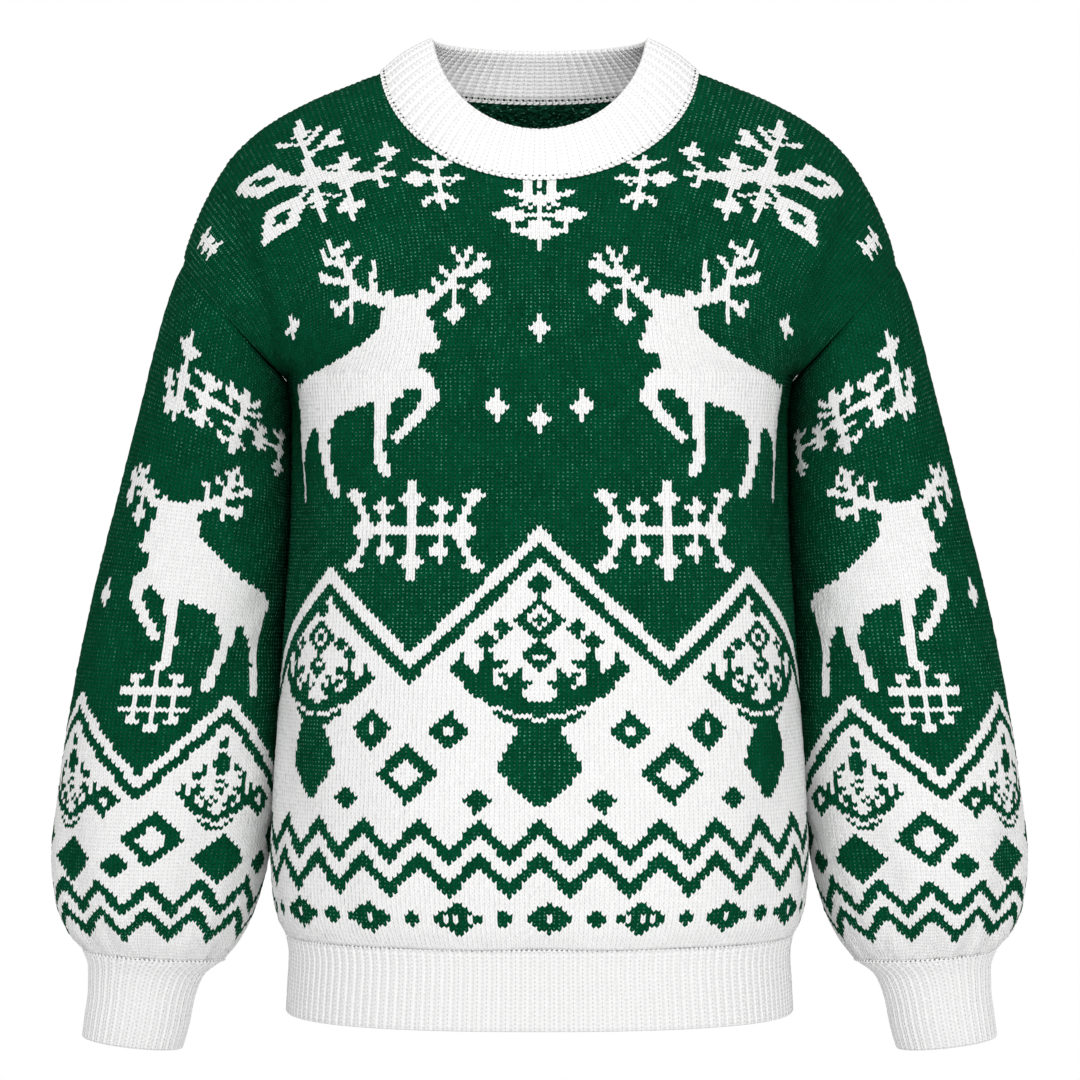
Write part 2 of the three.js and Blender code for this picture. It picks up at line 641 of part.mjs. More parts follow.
addPiece("front", panelGeometry(-1), GREEN, 0.95);
addPiece("back", panelGeometry(1), GREEN, 0.95);
addPiece("collar", collarGeometry(), WHITE, 0.95);
addPiece("hem_rib_front", hemGeometry(-1), WHITE, 0.95);
addPiece("hem_rib_back", hemGeometry(1), WHITE, 0.95);
for (const [name, hand] of [
  ["left", 1],
  ["right", -1],
]) {
  addPiece("sleeve_" + name, sleeveGeometry(hand), GREEN, 0.95);
  addPiece("cuff_" + name, cuffGeometry(hand), WHITE, 0.95);
}

export default group;
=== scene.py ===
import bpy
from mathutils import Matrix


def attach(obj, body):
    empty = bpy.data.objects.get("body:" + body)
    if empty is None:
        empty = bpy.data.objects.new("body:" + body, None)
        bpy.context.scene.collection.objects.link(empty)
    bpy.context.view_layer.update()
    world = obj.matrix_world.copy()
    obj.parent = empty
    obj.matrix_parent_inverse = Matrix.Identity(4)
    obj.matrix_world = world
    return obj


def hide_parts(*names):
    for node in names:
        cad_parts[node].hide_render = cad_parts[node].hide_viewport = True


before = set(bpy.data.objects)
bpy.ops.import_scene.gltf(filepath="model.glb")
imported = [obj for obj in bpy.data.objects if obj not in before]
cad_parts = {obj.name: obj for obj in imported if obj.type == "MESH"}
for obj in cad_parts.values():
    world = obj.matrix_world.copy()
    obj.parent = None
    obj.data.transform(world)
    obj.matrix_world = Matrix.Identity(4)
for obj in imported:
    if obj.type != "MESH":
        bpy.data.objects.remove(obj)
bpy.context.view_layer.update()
print("CAD nodes:", sorted(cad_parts))

# %% [markdown]
# A knitting pattern gives its sizes in millimetres and stitches, so this script works in
# millimetres too, and turns them into metres only when a mesh is made. Numpy holds the stitches: a
# panel has over thirty thousand, and whole rows are worked out at once instead of one by one.
# %% Libraries and units
import math

import bmesh
import bpy
import numpy as np
from mathutils import Vector

MM = 0.001
UP = np.array([0.0, 0.0, 1.0])

# %% [markdown]
# These are the sizes that the CAD solids were made from, repeated so that the stitches lie on the
# same walls. Z is measured from the level of the shoulder seams. A table is a list of rows with
# named columns, and a smooth curve that never overshoots is read between its rows.
# %% Sizes of the pieces
WALL = 3.0
RIB_WALL = 2.6
RIB_RISE = 1.2
SEAM_GAP = 0.3
COLLAR_GAP = 0.65
HEM_SEAM_Z = -593.0
BODY_LENGTH = 381.0
YOKE_LENGTH = 250.0
SLEEVE_LENGTH = 450.0
CUFF_LENGTH = 60.0
SHOULDER_TIP = (246.0, -134.0)
RIDGE = 6.0
SQUARENESS = 2.4
COLLAR_CROWN = 2.0
NECK = {
    "half_width": 109, "front": 100, "back": 75,
    "height": 0, "front_drop": 84, "back_drop": 13, "soft": 0.1,
}
NECK_TOP = {
    "half_width": 75, "front": 85, "back": 60,
    "height": 22, "front_drop": 71.5, "back_drop": 1, "soft": 0.15,
}
FRONT, BACK = -1, 1


def table(columns, *rows):
    """A list of rows, each with its values under the names in columns."""
    names = columns.split()
    return [dict(zip(names, row)) for row in rows]


BODY = table(
    "z half_width front back",
    (-593, 174.5, 121.5, 117), (-583, 179.5, 127, 121), (-566, 183.5, 131, 124),
    (-540, 185, 133, 125), (-500, 183.5, 133, 125), (-433, 179.5, 131, 124),
    (-364, 174.5, 129, 121), (-295, 171, 127, 118), (-240, 171.2, 125, 115), (-212, 175, 123, 114),
)
YOKE = table(
    "share front_y front_z back_y back_z turn",
    (0, -123, -212, 114, -212, 90), (0.2, -120.5, -163, 115, -160, 90),
    (0.4, -111, -116, 111, -108, 82), (0.55, -99, -83, 105, -70, 66),
    (0.7, -71, -55.5, 95, -37, 60), (0.85, -37, -21.5, 72, -12, 60),
    (0.93, -18, -4, 36, 0.5, 60), (1, 0, RIDGE, 0, RIDGE, 60),
)
SHOULDER = table(
    "x drop",
    (0, 0), (55, 1), (85, 3), (109, RIDGE), (131.5, RIDGE + 8), (156, RIDGE + 18), (190, RIDGE + 37),
    (211.5, RIDGE + 57), (229, RIDGE + 86), (240.5, RIDGE + 114), (246, RIDGE + 134),
)
OVAL_COLUMNS = "down in_x in_z out_x out_z half_depth mid_y square"
SLEEVE = table(
    OVAL_COLUMNS,
    (0, 175, -212, 246, -134, 82, 0, 2.1), (25, 175.5, -233, 256.5, -161, 83, 5, 2.15),
    (75, 172.4, -267, 274.5, -225, 80, 16, 2.2), (135, 171.2, -315, 293.5, -295, 76, 25, 2.2),
    (200, 174, -372, 311.5, -364, 73, 30, 2.2), (265, 178.5, -437, 326, -434, 71, 32, 2.2),
    (335, 183.5, -505, 336.5, -504, 69, 33, 2.2), (380, 190, -549, 341, -548, 67, 33, 2.2),
    (408, 197.5, -577, 338.5, -574, 62, 32, 2.1), (432, 208, -600, 331, -595, 52, 31, 2.1),
    (450, 219.5, -615, 318.5, -608.5, 42, 30, 2),
)
CUFF = table(
    OVAL_COLUMNS,
    (0, 219.5, -615, 318.5, -608.5, 42, 30, 2), (11, 234, -626, 315, -620, 35, 30, 2),
    (27, 240.5, -642, 315, -635, 31.5, 29, 2), (44, 244, -660, 317, -652, 30.5, 28, 2),
    (60, 248.5, -676, 319, -667.5, 30.5, 28, 2),
)
HEM = table(
    "z half_width front back",
    (-593.3, 174.5, 121.5, 117), (-606, 172.5, 120.5, 116),
    (-626, 173.5, 122.5, 117), (-645, 174.5, 125, 119),
)


def read_table(rows, key, name, at):
    """The values of column name at the places at of column key."""
    keys = np.array([row[key] for row in rows], float)
    values = np.array([row[name] for row in rows], float)
    if keys[0] > keys[-1]:
        keys, values = keys[::-1], values[::-1]
    step = np.diff(keys)
    slope = np.diff(values) / step
    rising = slope[:-1] * slope[1:] > 0
    both = np.where(rising, slope[:-1] + slope[1:], 1)
    inner = np.where(rising, 2 * slope[:-1] * slope[1:] / both, 0)
    tangent = np.concatenate([slope[:1], inner, slope[-1:]])
    at = np.clip(at, keys[0], keys[-1])
    i = np.clip(np.searchsorted(keys, at, side="right") - 1, 0, len(step) - 1)
    t = (at - keys[i]) / step[i]
    smooth = values[i] + (values[i + 1] - values[i]) * t * t * (3 - 2 * t)
    leave = t * (1 - t) ** 2 * step[i] * tangent[i]
    arrive = t * t * (t - 1) * step[i] * tangent[i + 1]
    return smooth + leave + arrive


print("sections: body", len(BODY), "yoke", len(YOKE), "sleeve", len(SLEEVE))

# %% [markdown]
# Sleeves, armholes and cuffs are slanted ovals between a point next to the body and a point on the
# outer side. A squared-off ellipse gives them, with one row of numbers for each section.
# %% Slanted ovals
def signed_power(value, power):
    return np.sign(value) * np.abs(value) ** power


def smooth_step(value):
    t = np.clip(value, 0, 1)
    return t * t * (3 - 2 * t)


def oval_section(rows, down):
    return {name: read_table(rows, "down", name, down) for name in OVAL_COLUMNS.split()[1:]}


def oval_points(section, angle, grow=0.0):
    """Angle 0 is next to the body, a quarter turn is the front. grow moves the points outward."""
    along_x = section["out_x"] - section["in_x"]
    along_z = section["out_z"] - section["in_z"]
    length = np.hypot(along_x, along_z)
    power = 2 / section["square"]
    along = signed_power(-np.cos(angle), power) * (length / 2 + grow)
    forward = signed_power(np.sin(angle), power) * (section["half_depth"] + grow)
    x = (section["in_x"] + section["out_x"]) / 2 + along_x / length * along
    z = (section["in_z"] + section["out_z"]) / 2 + along_z / length * along
    return np.stack(np.broadcast_arrays(x, section["mid_y"] - forward, z), -1)


# %% [markdown]
# A body panel is a stack of rows, each a curve from the middle of the panel to its side edge. Below
# the underarm the rows are level. Above it they end on the armhole and come together at the
# shoulder seam. Every row is then cut into equal lengths, because a knitted row has stitches of one
# size. That is easier to check than a sculpted surface, and it gives each stitch its place at once.
# %% Rows of the body panels
OUTLINE_SAMPLES = 121


def panel_rows(side, up):
    """The middle, the edge and the turn of the rows that lie up millimetres above the hem seam."""
    name = "front" if side == FRONT else "back"
    z = HEM_SEAM_Z + np.minimum(up, BODY_LENGTH)
    share = np.clip((up - BODY_LENGTH) / YOKE_LENGTH, 0, 1)
    in_yoke = up > BODY_LENGTH
    armhole = oval_points(oval_section(SLEEVE, 0.0), np.pi * share)
    armhole[:, 1] *= -side
    level = np.stack([read_table(BODY, "z", "half_width", z), np.zeros_like(z), z], -1)
    low_y = side * read_table(BODY, "z", name, z)
    return {
        "mid_y": np.where(in_yoke, read_table(YOKE, "share", name + "_y", share), low_y),
        "mid_z": np.where(in_yoke, read_table(YOKE, "share", name + "_z", share), z),
        "edge": np.where(in_yoke[:, None], armhole, level),
        "turn": np.radians(np.where(in_yoke, read_table(YOKE, "share", "turn", share), 90)),
    }


def row_outline(rows, samples):
    """Points along each row, from its middle to its edge."""
    turn = rows["turn"][:, None]
    angle = turn * samples
    power = 2 / SQUARENESS
    reach = (np.sin(angle) / np.sin(turn)) ** power
    end = np.maximum(0, np.cos(turn)) ** power
    middle = (np.maximum(0, np.cos(angle)) ** power - end) / (1 - end)
    drop = read_table(SHOULDER, "x", "drop", reach * SHOULDER_TIP[0]) / (RIDGE - SHOULDER_TIP[1])
    edge = rows["edge"][:, None, :]
    x = edge[..., 0] * reach
    y = edge[..., 1] + (rows["mid_y"][:, None] - edge[..., 1]) * middle
    z = rows["mid_z"][:, None] + (edge[..., 2] - rows["mid_z"][:, None]) * drop
    return np.stack([x, y, z], -1)


def line_lengths(outlines):
    """How far along its outline each point lies."""
    steps = np.linalg.norm(np.diff(outlines, axis=1), axis=2)
    return np.concatenate([np.zeros((len(outlines), 1)), np.cumsum(steps, axis=1)], 1)


def even_points(outlines, shares):
    """Points at the given shares of the length of each outline."""
    found = np.empty((len(outlines), len(shares), 3))
    for row, (line, far) in enumerate(zip(outlines, line_lengths(outlines))):
        for axis in range(3):
            found[row, :, axis] = np.interp(shares * far[-1], far, line[:, axis])
    return found


def panel_points(side, up, across):
    outlines = row_outline(panel_rows(side, up), np.linspace(0, 1, OUTLINE_SAMPLES))
    points = even_points(outlines, np.abs(across))
    points[..., 0] *= np.sign(across)
    return points


def unit(vectors):
    return vectors / np.maximum(np.linalg.norm(vectors, axis=-1, keepdims=True), 1e-9)


def grid_normals(points, closed=False):
    """The direction square to a grid of points, from the differences between its neighbours."""
    if closed:
        along = np.roll(points, -1, axis=1) - np.roll(points, 1, axis=1)
    else:
        along = np.gradient(points, axis=1)
    return unit(np.cross(along, np.gradient(points, axis=0)))


# %% [markdown]
# The neckband sits on the neck edge. Both its edges are ovals with a deeper front than back, seen
# from above, and they sink from the shoulders towards the middle of the front.
# %% The neck edge
def neck_edge(edge, angle):
    """Points of one edge of the neckband. Angle 0 is the middle of the front."""
    forward = np.cos(angle)
    soft = edge["soft"]
    ramp = (np.hypot(forward, soft) - soft) / (math.hypot(1, soft) - soft)
    depth = np.where(forward > 0, edge["front"], edge["back"])
    drop = np.where(forward > 0, edge["front_drop"], edge["back_drop"])
    x = edge["half_width"] * np.sin(angle)
    return np.stack([x, -forward * depth, edge["height"] - drop * ramp], -1)


def band_frame(angle):
    """The direction up the neckband and the direction square to it."""
    step = 0.02
    up = unit(neck_edge(NECK_TOP, angle) - neck_edge(NECK, angle))
    along = neck_edge(NECK, angle + step) - neck_edge(NECK, angle - step)
    return up, unit(np.cross(along, up))


def neck_reach(points):
    """How far out a point lies, seen from above, where 1 is on the neck edge, and its angle there."""
    depth = np.where(points[..., 1] < 0, NECK["front"], NECK["back"])
    x = points[..., 0] / NECK["half_width"]
    y = points[..., 1] / depth
    return np.hypot(x, y), np.arctan2(x, -y)


# %% [markdown]
# Cloth that is filled out still has folds: where the sleeve pulls at the underarm, over the elbow,
# and where the fullness is gathered into the hem and cuffs. They are listed one by one. The tables
# named SOLID hold the large folds of the CAD solids. The others hold finer creases, different on
# the left and the right of the body, because cloth never folds alike twice. Each row is a line from
# one place to another, in millimetres up the panel or down the sleeve, and in degrees round the
# sleeve. Depth is below zero for a trough.
# %% Folds listed one by one
FOLD_COLUMNS = "x y to_x to_y width depth"
SOLID_FRONT_FOLDS = table(
    FOLD_COLUMNS,
    (200, 590, 232.5, 430, 13, -9), (242.5, 395, 180, 250, 17, -5),
    (215, 170, 150, 45, 24, -4), (75, 150, 105, 10, 30, 3),
)
SOLID_BACK_FOLDS = table(
    FOLD_COLUMNS,
    (205, 595, 235, 430, 14, -9), (242.5, 395, 150, 300, 18, -6),
    (112.5, 330, 155, 60, 26, -5), (30, 200, 50, 20, 28, 4),
)
SOLID_SLEEVE_FOLDS = table(
    FOLD_COLUMNS,
    (35, 40, 95, 150, 16, -6), (330, 50, 262, 165, 17, -6), (20, 215, 100, 262, 17, -6),
    (345, 230, 265, 285, 18, -6), (150, 330, 128, 440, 17, -5), (60, 345, 70, 442, 15, -5),
    (215, 340, 235, 440, 17, -5), (300, 350, 292, 442, 15, -5),
)
FRONT_CREASES = table(
    FOLD_COLUMNS,
    (-222, 445, -150, 372, 9, -1.6), (-228, 420, -175, 318, 11, -1.5), (215, 452, 138, 390, 10, -1.5),
    (226, 410, 182, 300, 12, -1.7), (-120, 90, -138, 4, 12, -1.2), (60, 70, 52, 3, 10, -1.0),
    (-20, 60, -26, 2, 9, -0.8), (150, 110, 164, 5, 12, -1.3), (-196, 120, -208, 8, 12, -1.5),
    (-60, 512, -10, 470, 16, 0.8), (70, 505, 118, 470, 18, 0.8), (205, 96, 214, 6, 10, -1.2),
)
BACK_CREASES = table(
    FOLD_COLUMNS,
    (-224, 450, -140, 395, 10, -1.7), (-220, 415, -130, 330, 12, -1.8), (218, 460, 150, 400, 10, -1.6),
    (228, 405, 150, 300, 13, -1.8), (-90, 120, -104, 5, 13, -1.6), (12, 90, 4, 3, 12, -1.2),
    (92, 130, 110, 6, 13, -1.5), (-180, 140, -192, 8, 13, -1.6), (180, 120, 190, 6, 12, -1.5),
    (-50, 560, 40, 552, 14, -0.9),
)
SLEEVE_CREASES = table(
    FOLD_COLUMNS,
    (25, 95, 85, 185, 9, -1.8), (10, 150, 62, 215, 9, -1.7), (60, 20, 120, 70, 10, -1.3),
    (118, 215, 60, 250, 9, -1.4), (8, 280, 70, 318, 10, -1.5), (95, 295, 140, 338, 12, -1.2),
    (340, 110, 285, 190, 10, -1.8), (355, 175, 300, 232, 10, -1.7), (250, 215, 320, 262, 11, -1.5),
    (190, 240, 235, 290, 14, -1.1), (0, 0, 0, 54, 14, 2.8), (360, 0, 360, 54, 14, 2.8),
    (340, 0, 338, 68, 15, 5.5), (-20, 0, -22, 68, 15, 5.5), (104, 372, 96, 446, 8, -1.6),
    (36, 380, 44, 446, 7, -1.6), (172, 378, 168, 446, 8, -1.7), (196, 388, 200, 446, 7, -1.5),
    (258, 376, 262, 446, 8, -1.6), (326, 384, 320, 446, 7, -1.6), (84, 396, 83, 447, 6, -1.4),
    (120, 400, 119, 447, 6, -1.3),
)
PANEL_HALF_WIDTH = 250.0
SLEEVE_RADIUS = 70.0
EDGE_FADE = 22.0  # how far from an edge the folds have their full depth
ARMHOLE_FADE = 5.0  # the same for the sleeve's creases, which bulge right up to the armhole
FOLD_END = 0.35  # depth at both ends of a fold, as a share of its depth halfway along


def fold_height(folds, x, y):
    """How far the folds move the cloth at each place. A fold is deepest halfway along."""
    height = np.zeros(np.broadcast(x, y).shape)
    for fold in folds:
        run_x, run_y = fold["to_x"] - fold["x"], fold["to_y"] - fold["y"]
        share = ((x - fold["x"]) * run_x + (y - fold["y"]) * run_y) / (run_x**2 + run_y**2)
        t = np.clip(share, 0, 1)
        away = np.hypot(x - fold["x"] - run_x * t, y - fold["y"] - run_y * t)
        taper = FOLD_END + (1 - FOLD_END) * np.sin(np.pi * t)
        height += fold["depth"] * np.exp(-((away / fold["width"]) ** 2)) * taper
    return height


# %% [markdown]
# One stitch of stockinette is a V: two legs that lean together at the bottom. A grid with two faces
# for each stitch gives it, if the points in the middle of every stitch drop by half a row. A motif
# then gets the toothed edge that real two-colour knitting has. A bump map alone would leave that
# edge straight, and modelling each yarn would take millions of faces.
# %% From a smooth grid to stitches
EDGE_SINK = 0.42  # how deep the furrow between two columns of stitches is
LEG_JITTER = 0.16  # how unevenly a hand or an old machine pulls its stitches
SEED = 24


def grid_sizes(stitches, courses):
    """The places of half stitches and half courses, as shares from 0 to 1."""
    return np.linspace(0, 1, 2 * stitches + 1), np.linspace(0, 1, 2 * courses + 1)


def pick_stitches(lattice):
    """Takes the corner points of the V shapes from a grid of half stitches by half courses."""
    rows = lattice[0::2].copy()
    rows[1:-1, 1::2] = lattice[1:-2:2, 1::2]
    return rows


def stitch_relief(shape, seed):
    """Sinks the furrows between the columns of stitches and makes all of them a little uneven."""
    random = np.random.default_rng(seed)
    rise = np.zeros(shape)
    rise[:, 0::2] -= EDGE_SINK
    rise += random.normal(0, LEG_JITTER * 0.6, shape)
    slip = random.normal(0, LEG_JITTER, shape + (3,))
    slip[0] = slip[-1] = 0
    slip[:, 0] = slip[:, -1] = 0
    return rise, slip


# %% [markdown]
# Blender gets each mesh from plain arrays, which is quick even for a hundred thousand faces. Every
# face also stores which yarn it is knitted in, and every corner its place in stitches and courses,
# so that the materials can follow the knitting wherever the cloth bends.
# %% Making a mesh from arrays
def make_mesh(name, points, faces, materials, yarn=None, stitch=None, inside=None):
    """points in millimetres, faces as arrays of quads and of triangles, stitch one place a corner."""
    mesh = bpy.data.meshes.new(name)
    mesh.vertices.add(len(points))
    mesh.vertices.foreach_set("co", (points * MM).astype(np.float32).ravel())
    counts = np.concatenate([np.full(len(part), part.shape[1]) for part in faces])
    corners = np.concatenate([part.ravel() for part in faces])
    mesh.loops.add(len(corners))
    mesh.loops.foreach_set("vertex_index", corners.astype(np.int32))
    mesh.polygons.add(len(counts))
    starts = np.concatenate([[0], np.cumsum(counts)[:-1]])
    mesh.polygons.foreach_set("loop_start", starts.astype(np.int32))
    mesh.polygons.foreach_set("use_smooth", np.ones(len(counts), bool))
    if inside is not None:
        mesh.polygons.foreach_set("material_index", inside.astype(np.int32))
    for material in materials:
        mesh.materials.append(material)
    mesh.update(calc_edges=True)
    if stitch is not None:
        layer = mesh.uv_layers.new(name="stitches")
        layer.uv.foreach_set("vector", stitch.astype(np.float32).ravel())
    if yarn is not None:
        attribute = mesh.attributes.new("yarn", "FLOAT", "FACE")
        attribute.data.foreach_set("value", yarn.astype(np.float32))
    mesh.validate()
    piece = bpy.data.objects.new(name, mesh)
    bpy.context.scene.collection.objects.link(piece)
    return piece


def grid_quads(rows, columns, closed=False):
    """Quads between the points of a grid, as seen with rows going up and columns to the right."""
    wide = columns if closed else columns - 1
    row, column = np.meshgrid(np.arange(rows - 1), np.arange(wide), indexing="ij")
    right = (column + 1) % columns
    low, high = row * columns, (row + 1) * columns
    corners = [low + column, low + right, high + right, high + column]
    return np.stack(corners, -1).reshape(-1, 4)


def boundary_loops(quads):
    """The rims of a sheet, each as a list of points in the order in which its faces run."""
    edges = np.concatenate([quads[:, [i, (i + 1) % 4]] for i in range(4)])
    directed = set(map(tuple, edges.tolist()))
    after = {a: b for a, b in directed if (b, a) not in directed}
    loops = []
    while after:
        start, here = after.popitem()
        loop = [start]
        while here != start:
            loop.append(here)
            here = after.pop(here)
        loops.append(loop)
    return loops


def zip_rims(points, outer, inner):
    """Triangles between two rims that run side by side, always by the shorter way across."""
    near = np.linalg.norm(points[inner] - points[outer[0]], axis=1).argmin()
    inner = inner[near:] + inner[:near]
    i = k = 0
    triangles = []
    while i < len(outer) or k < len(inner):
        a, next_a = outer[i % len(outer)], outer[(i + 1) % len(outer)]
        b, next_b = inner[k % len(inner)], inner[(k + 1) % len(inner)]
        outer_step = np.linalg.norm(points[next_a] - points[b])
        inner_step = np.linalg.norm(points[next_b] - points[a])
        if k == len(inner) or (i < len(outer) and outer_step <= inner_step):
            triangles.append((next_a, a, b))
            i += 1
        else:
            triangles.append((a, b, next_b))
            k += 1
    return np.array(triangles)


# %% [markdown]
# The shell of a piece is its outer layer of stitches, a coarser inner layer one cloth thickness
# behind it, and rims that join the two. The inner layer needs fewer points, as nobody sees its
# single stitches, so its rim is joined to the outer one with triangles that always take the
# shorter way across.
# %% Closing the shell
INSIDE_STEP = 4  # stitches and courses between two points of the inner layer


def closed_shell(name, outer, outer_quads, inner, inner_quads, materials, yarn, stitch):
    points = np.concatenate([outer.reshape(-1, 3), inner.reshape(-1, 3)])
    first = outer.size // 3
    behind = inner_quads + first
    outer_rims = sorted(boundary_loops(outer_quads), key=len)
    inner_rims = boundary_loops(behind)
    rims = []
    for rim in outer_rims:
        middle = points[rim].mean(0)
        mate = min(inner_rims, key=lambda other: np.linalg.norm(points[other].mean(0) - middle))
        rims.append(zip_rims(points, rim, mate))
    rims = np.concatenate(rims)
    behind = behind[:, ::-1]  # the inner layer faces the wearer
    corners = np.concatenate([outer_quads.ravel(), behind.ravel(), rims.ravel()])
    used, packed = np.unique(corners, return_inverse=True)
    points = points[used]
    cut = [outer_quads.size, outer_quads.size + behind.size]
    front, back, rim = np.split(packed, cut)
    count = [len(outer_quads), len(behind), len(rims)]
    yarn = np.concatenate([yarn, np.ones(count[1]), np.repeat(yarn.mean(), count[2]).round()])
    extra = np.zeros((count[1] * 4 + count[2] * 3, 2))
    inside = np.repeat([0, 1, 0], count)
    faces = [front.reshape(-1, 4), back.reshape(-1, 4), rim.reshape(-1, 3)]
    return make_mesh(name, points, faces, materials, yarn, np.concatenate([stitch, extra]), inside)


# %% [markdown]
# Charts. A knitter reads a two-colour pattern from squared paper, one square a stitch. These charts
# are drawn with a few pens: a stroke, a tapering limb, a diamond and a zigzag. Each takes
# millimetres on the flat cloth, so that a motif keeps its shape although a stitch is wider than it
# is tall. White is 0 and green is 1. Stags, flakes and borders are ordinary winter patterns, and
# these are drawn new for this sweater.
# %% Squared paper and pens
WALE = 3.2  # width of a stitch on the flat cloth
COURSE = 2.75  # height of a stitch
GREEN, WHITE = 1.0, 0.0
PANEL_WALES, PANEL_COURSES = 157, 230
SLEEVE_WALES, SLEEVE_COURSES = 137, 164
ZIGZAG_BLUNT = 0.05  # how blunt the lower points of a zigzag are


class Chart:
    """Squared paper. A body chart counts x from its middle, a sleeve chart from the side seam."""

    def __init__(self, wales, courses, around=False):
        self.yarn = np.full((courses, wales), GREEN)
        self.width = wales * WALE
        x = (np.arange(wales) + 0.5) * WALE - (0 if around else self.width / 2)
        y = (np.arange(courses) + 0.5) * COURSE
        self.straight_x, self.y = np.meshgrid(x, y)
        self.x = self.straight_x if around else -np.abs(self.straight_x)

    def ink(self, mask, colour):
        self.yarn[mask] = colour

    def limb(self, places, colour=WHITE):
        """A line through places of x, y and width, which tapers from one width to the next."""
        for (x0, y0, w0), (x1, y1, w1) in zip(places, places[1:]):
            run_x, run_y = x1 - x0, y1 - y0
            length = max(run_x**2 + run_y**2, 1e-6)
            t = np.clip(((self.x - x0) * run_x + (self.y - y0) * run_y) / length, 0, 1)
            away = np.hypot(self.x - x0 - run_x * t, self.y - y0 - run_y * t)
            self.ink(away <= (w0 + (w1 - w0) * t) / 2, colour)

    def stroke(self, places, width, colour=WHITE):
        """A line of even width."""
        self.limb([(x, y, width) for x, y in places], colour)

    def diamond(self, x, y, half_width, half_height, colour):
        away = np.abs(self.x - x) / half_width + np.abs(self.y - y) / half_height
        self.ink(away <= 1, colour)

    def ring(self, x, y, half_width, half_height, hole, colour=GREEN):
        """A diamond with a smaller diamond of the other yarn in it."""
        self.diamond(x, y, half_width, half_height, colour)
        self.diamond(x, y, half_width * hole, half_height * hole, WHITE + GREEN - colour)

    def zigzag(self, peak, valley, period, thick, colour=GREEN):
        """A band that runs up and down all the way across, with a peak at x 0."""
        share = np.maximum(np.abs(self.x / period % 1 - 0.5) * 2, ZIGZAG_BLUNT)
        middle = valley + (peak - valley) * share
        self.ink(np.abs(self.y - middle) <= thick / 2, colour)

# %% [markdown]
# The stag is drawn as a jointed figure, each part a limb that tapers: trunk, neck, head, four legs
# and two antlers with small baubles. Limbs in millimetres can be drawn smaller for the sleeve, which
# a chart of squares could not. A sprig is a stem with a diamond in its middle and a pair of barbs at
# each end. The snowflakes are put together from sprigs, bars, forks, leaves and wings.
# %% Stag, sprigs and flakes
STAG = [
    [(2, 64, 34), (30, 74, 36), (58, 82, 36), (76, 88, 36)],
    [(26, 82, 22), (48, 92, 26), (66, 106, 26)],
    [(72, 84, 40), (79, 104, 40), (78, 122, 36)],
    [(92, 114, 22), (102, 103, 12)],
    [(70, 133, 7), (67, 142, 5)],
    [(90, 132, 7), (93, 141, 5)],
    [(-14, 74, 7), (-20, 64, 5)],
    [(-4, 60, 30), (-13, 40, 13), (-16, 22, 7), (-14, 4, 8)],
    [(20, 60, 26), (18, 40, 11), (22, 24, 9), (28, 10, 9), (32, 6, 7)],
    [(74, 78, 22), (70, 64, 13), (69, 50, 10), (67, 36, 8), (70, 24, 8), (75, 18, 7)],
    [(88, 84, 18), (103, 78, 12), (107, 69, 10), (94, 53, 8), (82, 41, 7)],
]
ANTLERS = [
    [(66, 136, 9), (48, 144, 8), (38, 152, 7), (35, 166, 6), (30, 180, 5), (27, 193, 4)],
    [(57, 141, 5), (53, 154, 5), (57, 167, 4)],
    [(36, 157, 5), (25, 161, 5), (15, 168, 7)],
    [(33, 172, 5), (22, 178, 4), (20, 187, 4)],
    [(35, 164, 4), (46, 174, 4)],
    [(31, 180, 4), (40, 187, 4)],
    [(46, 146, 6), (34, 142, 6), (24, 136, 6)],
    [(38, 146, 5), (37, 129, 5)],
    [(28, 139, 4), (21, 146, 4)],
    [(92, 131, 8), (104, 137, 7), (114, 147, 7), (122, 158, 5), (129, 170, 4)],
    [(118, 152, 5), (130, 154, 5), (143, 159, 4)],
    [(130, 154, 4), (138, 166, 4)],
    [(106, 140, 4), (101, 149, 4)],
    [(114, 149, 4), (107, 157, 4)],
    [(123, 160, 4), (117, 169, 4)],
    [(112, 144, 4), (124, 143, 4)],
    [(117, 148, 4), (118, 130, 4)],
]
ANTLER_BAUBLES = [(118, 125), (137, 140)]
BROW = 132.0  # height of the brow, where the antlers begin


def draw_stag(chart, x, y, wide=1.0, tall=1.0, antlers=1.0):
    """x and y are the place of the hind hoof. antlers makes them taller or lower."""
    def at(a, b):
        return x + a * wide, y + (min(b, BROW) + max(b - BROW, 0) * antlers) * tall

    for limb in STAG + ANTLERS:
        chart.limb([(*at(a, b), width * (wide + tall) / 2) for a, b, width in limb])
    for a, b in ANTLER_BAUBLES:
        chart.diamond(*at(a, b), 8.5 * wide, 8.5 * tall, WHITE)


def draw_sprig(chart, x, y, half, lean=0.0, reach=9.0):
    """A stem of height 2 * half that leans by lean millimetres, with barbs at both ends."""
    for hand in (-1, 1):
        for end in (-1, 1):
            root = (x + lean * end * 0.6, y + half * end * 0.5)
            tip = (root[0] + reach * hand, root[1] + reach * 0.75 * end)
            chart.stroke([root, tip], 3.6)
    chart.stroke([(x - lean, y - half), (x + lean, y + half)], 4.4)
    chart.diamond(x, y, 6.5, 8, WHITE)
    for end in (-1, 1):
        chart.diamond(x + lean * end * 0.75, y + half * end * 0.74, 6, 6, WHITE)


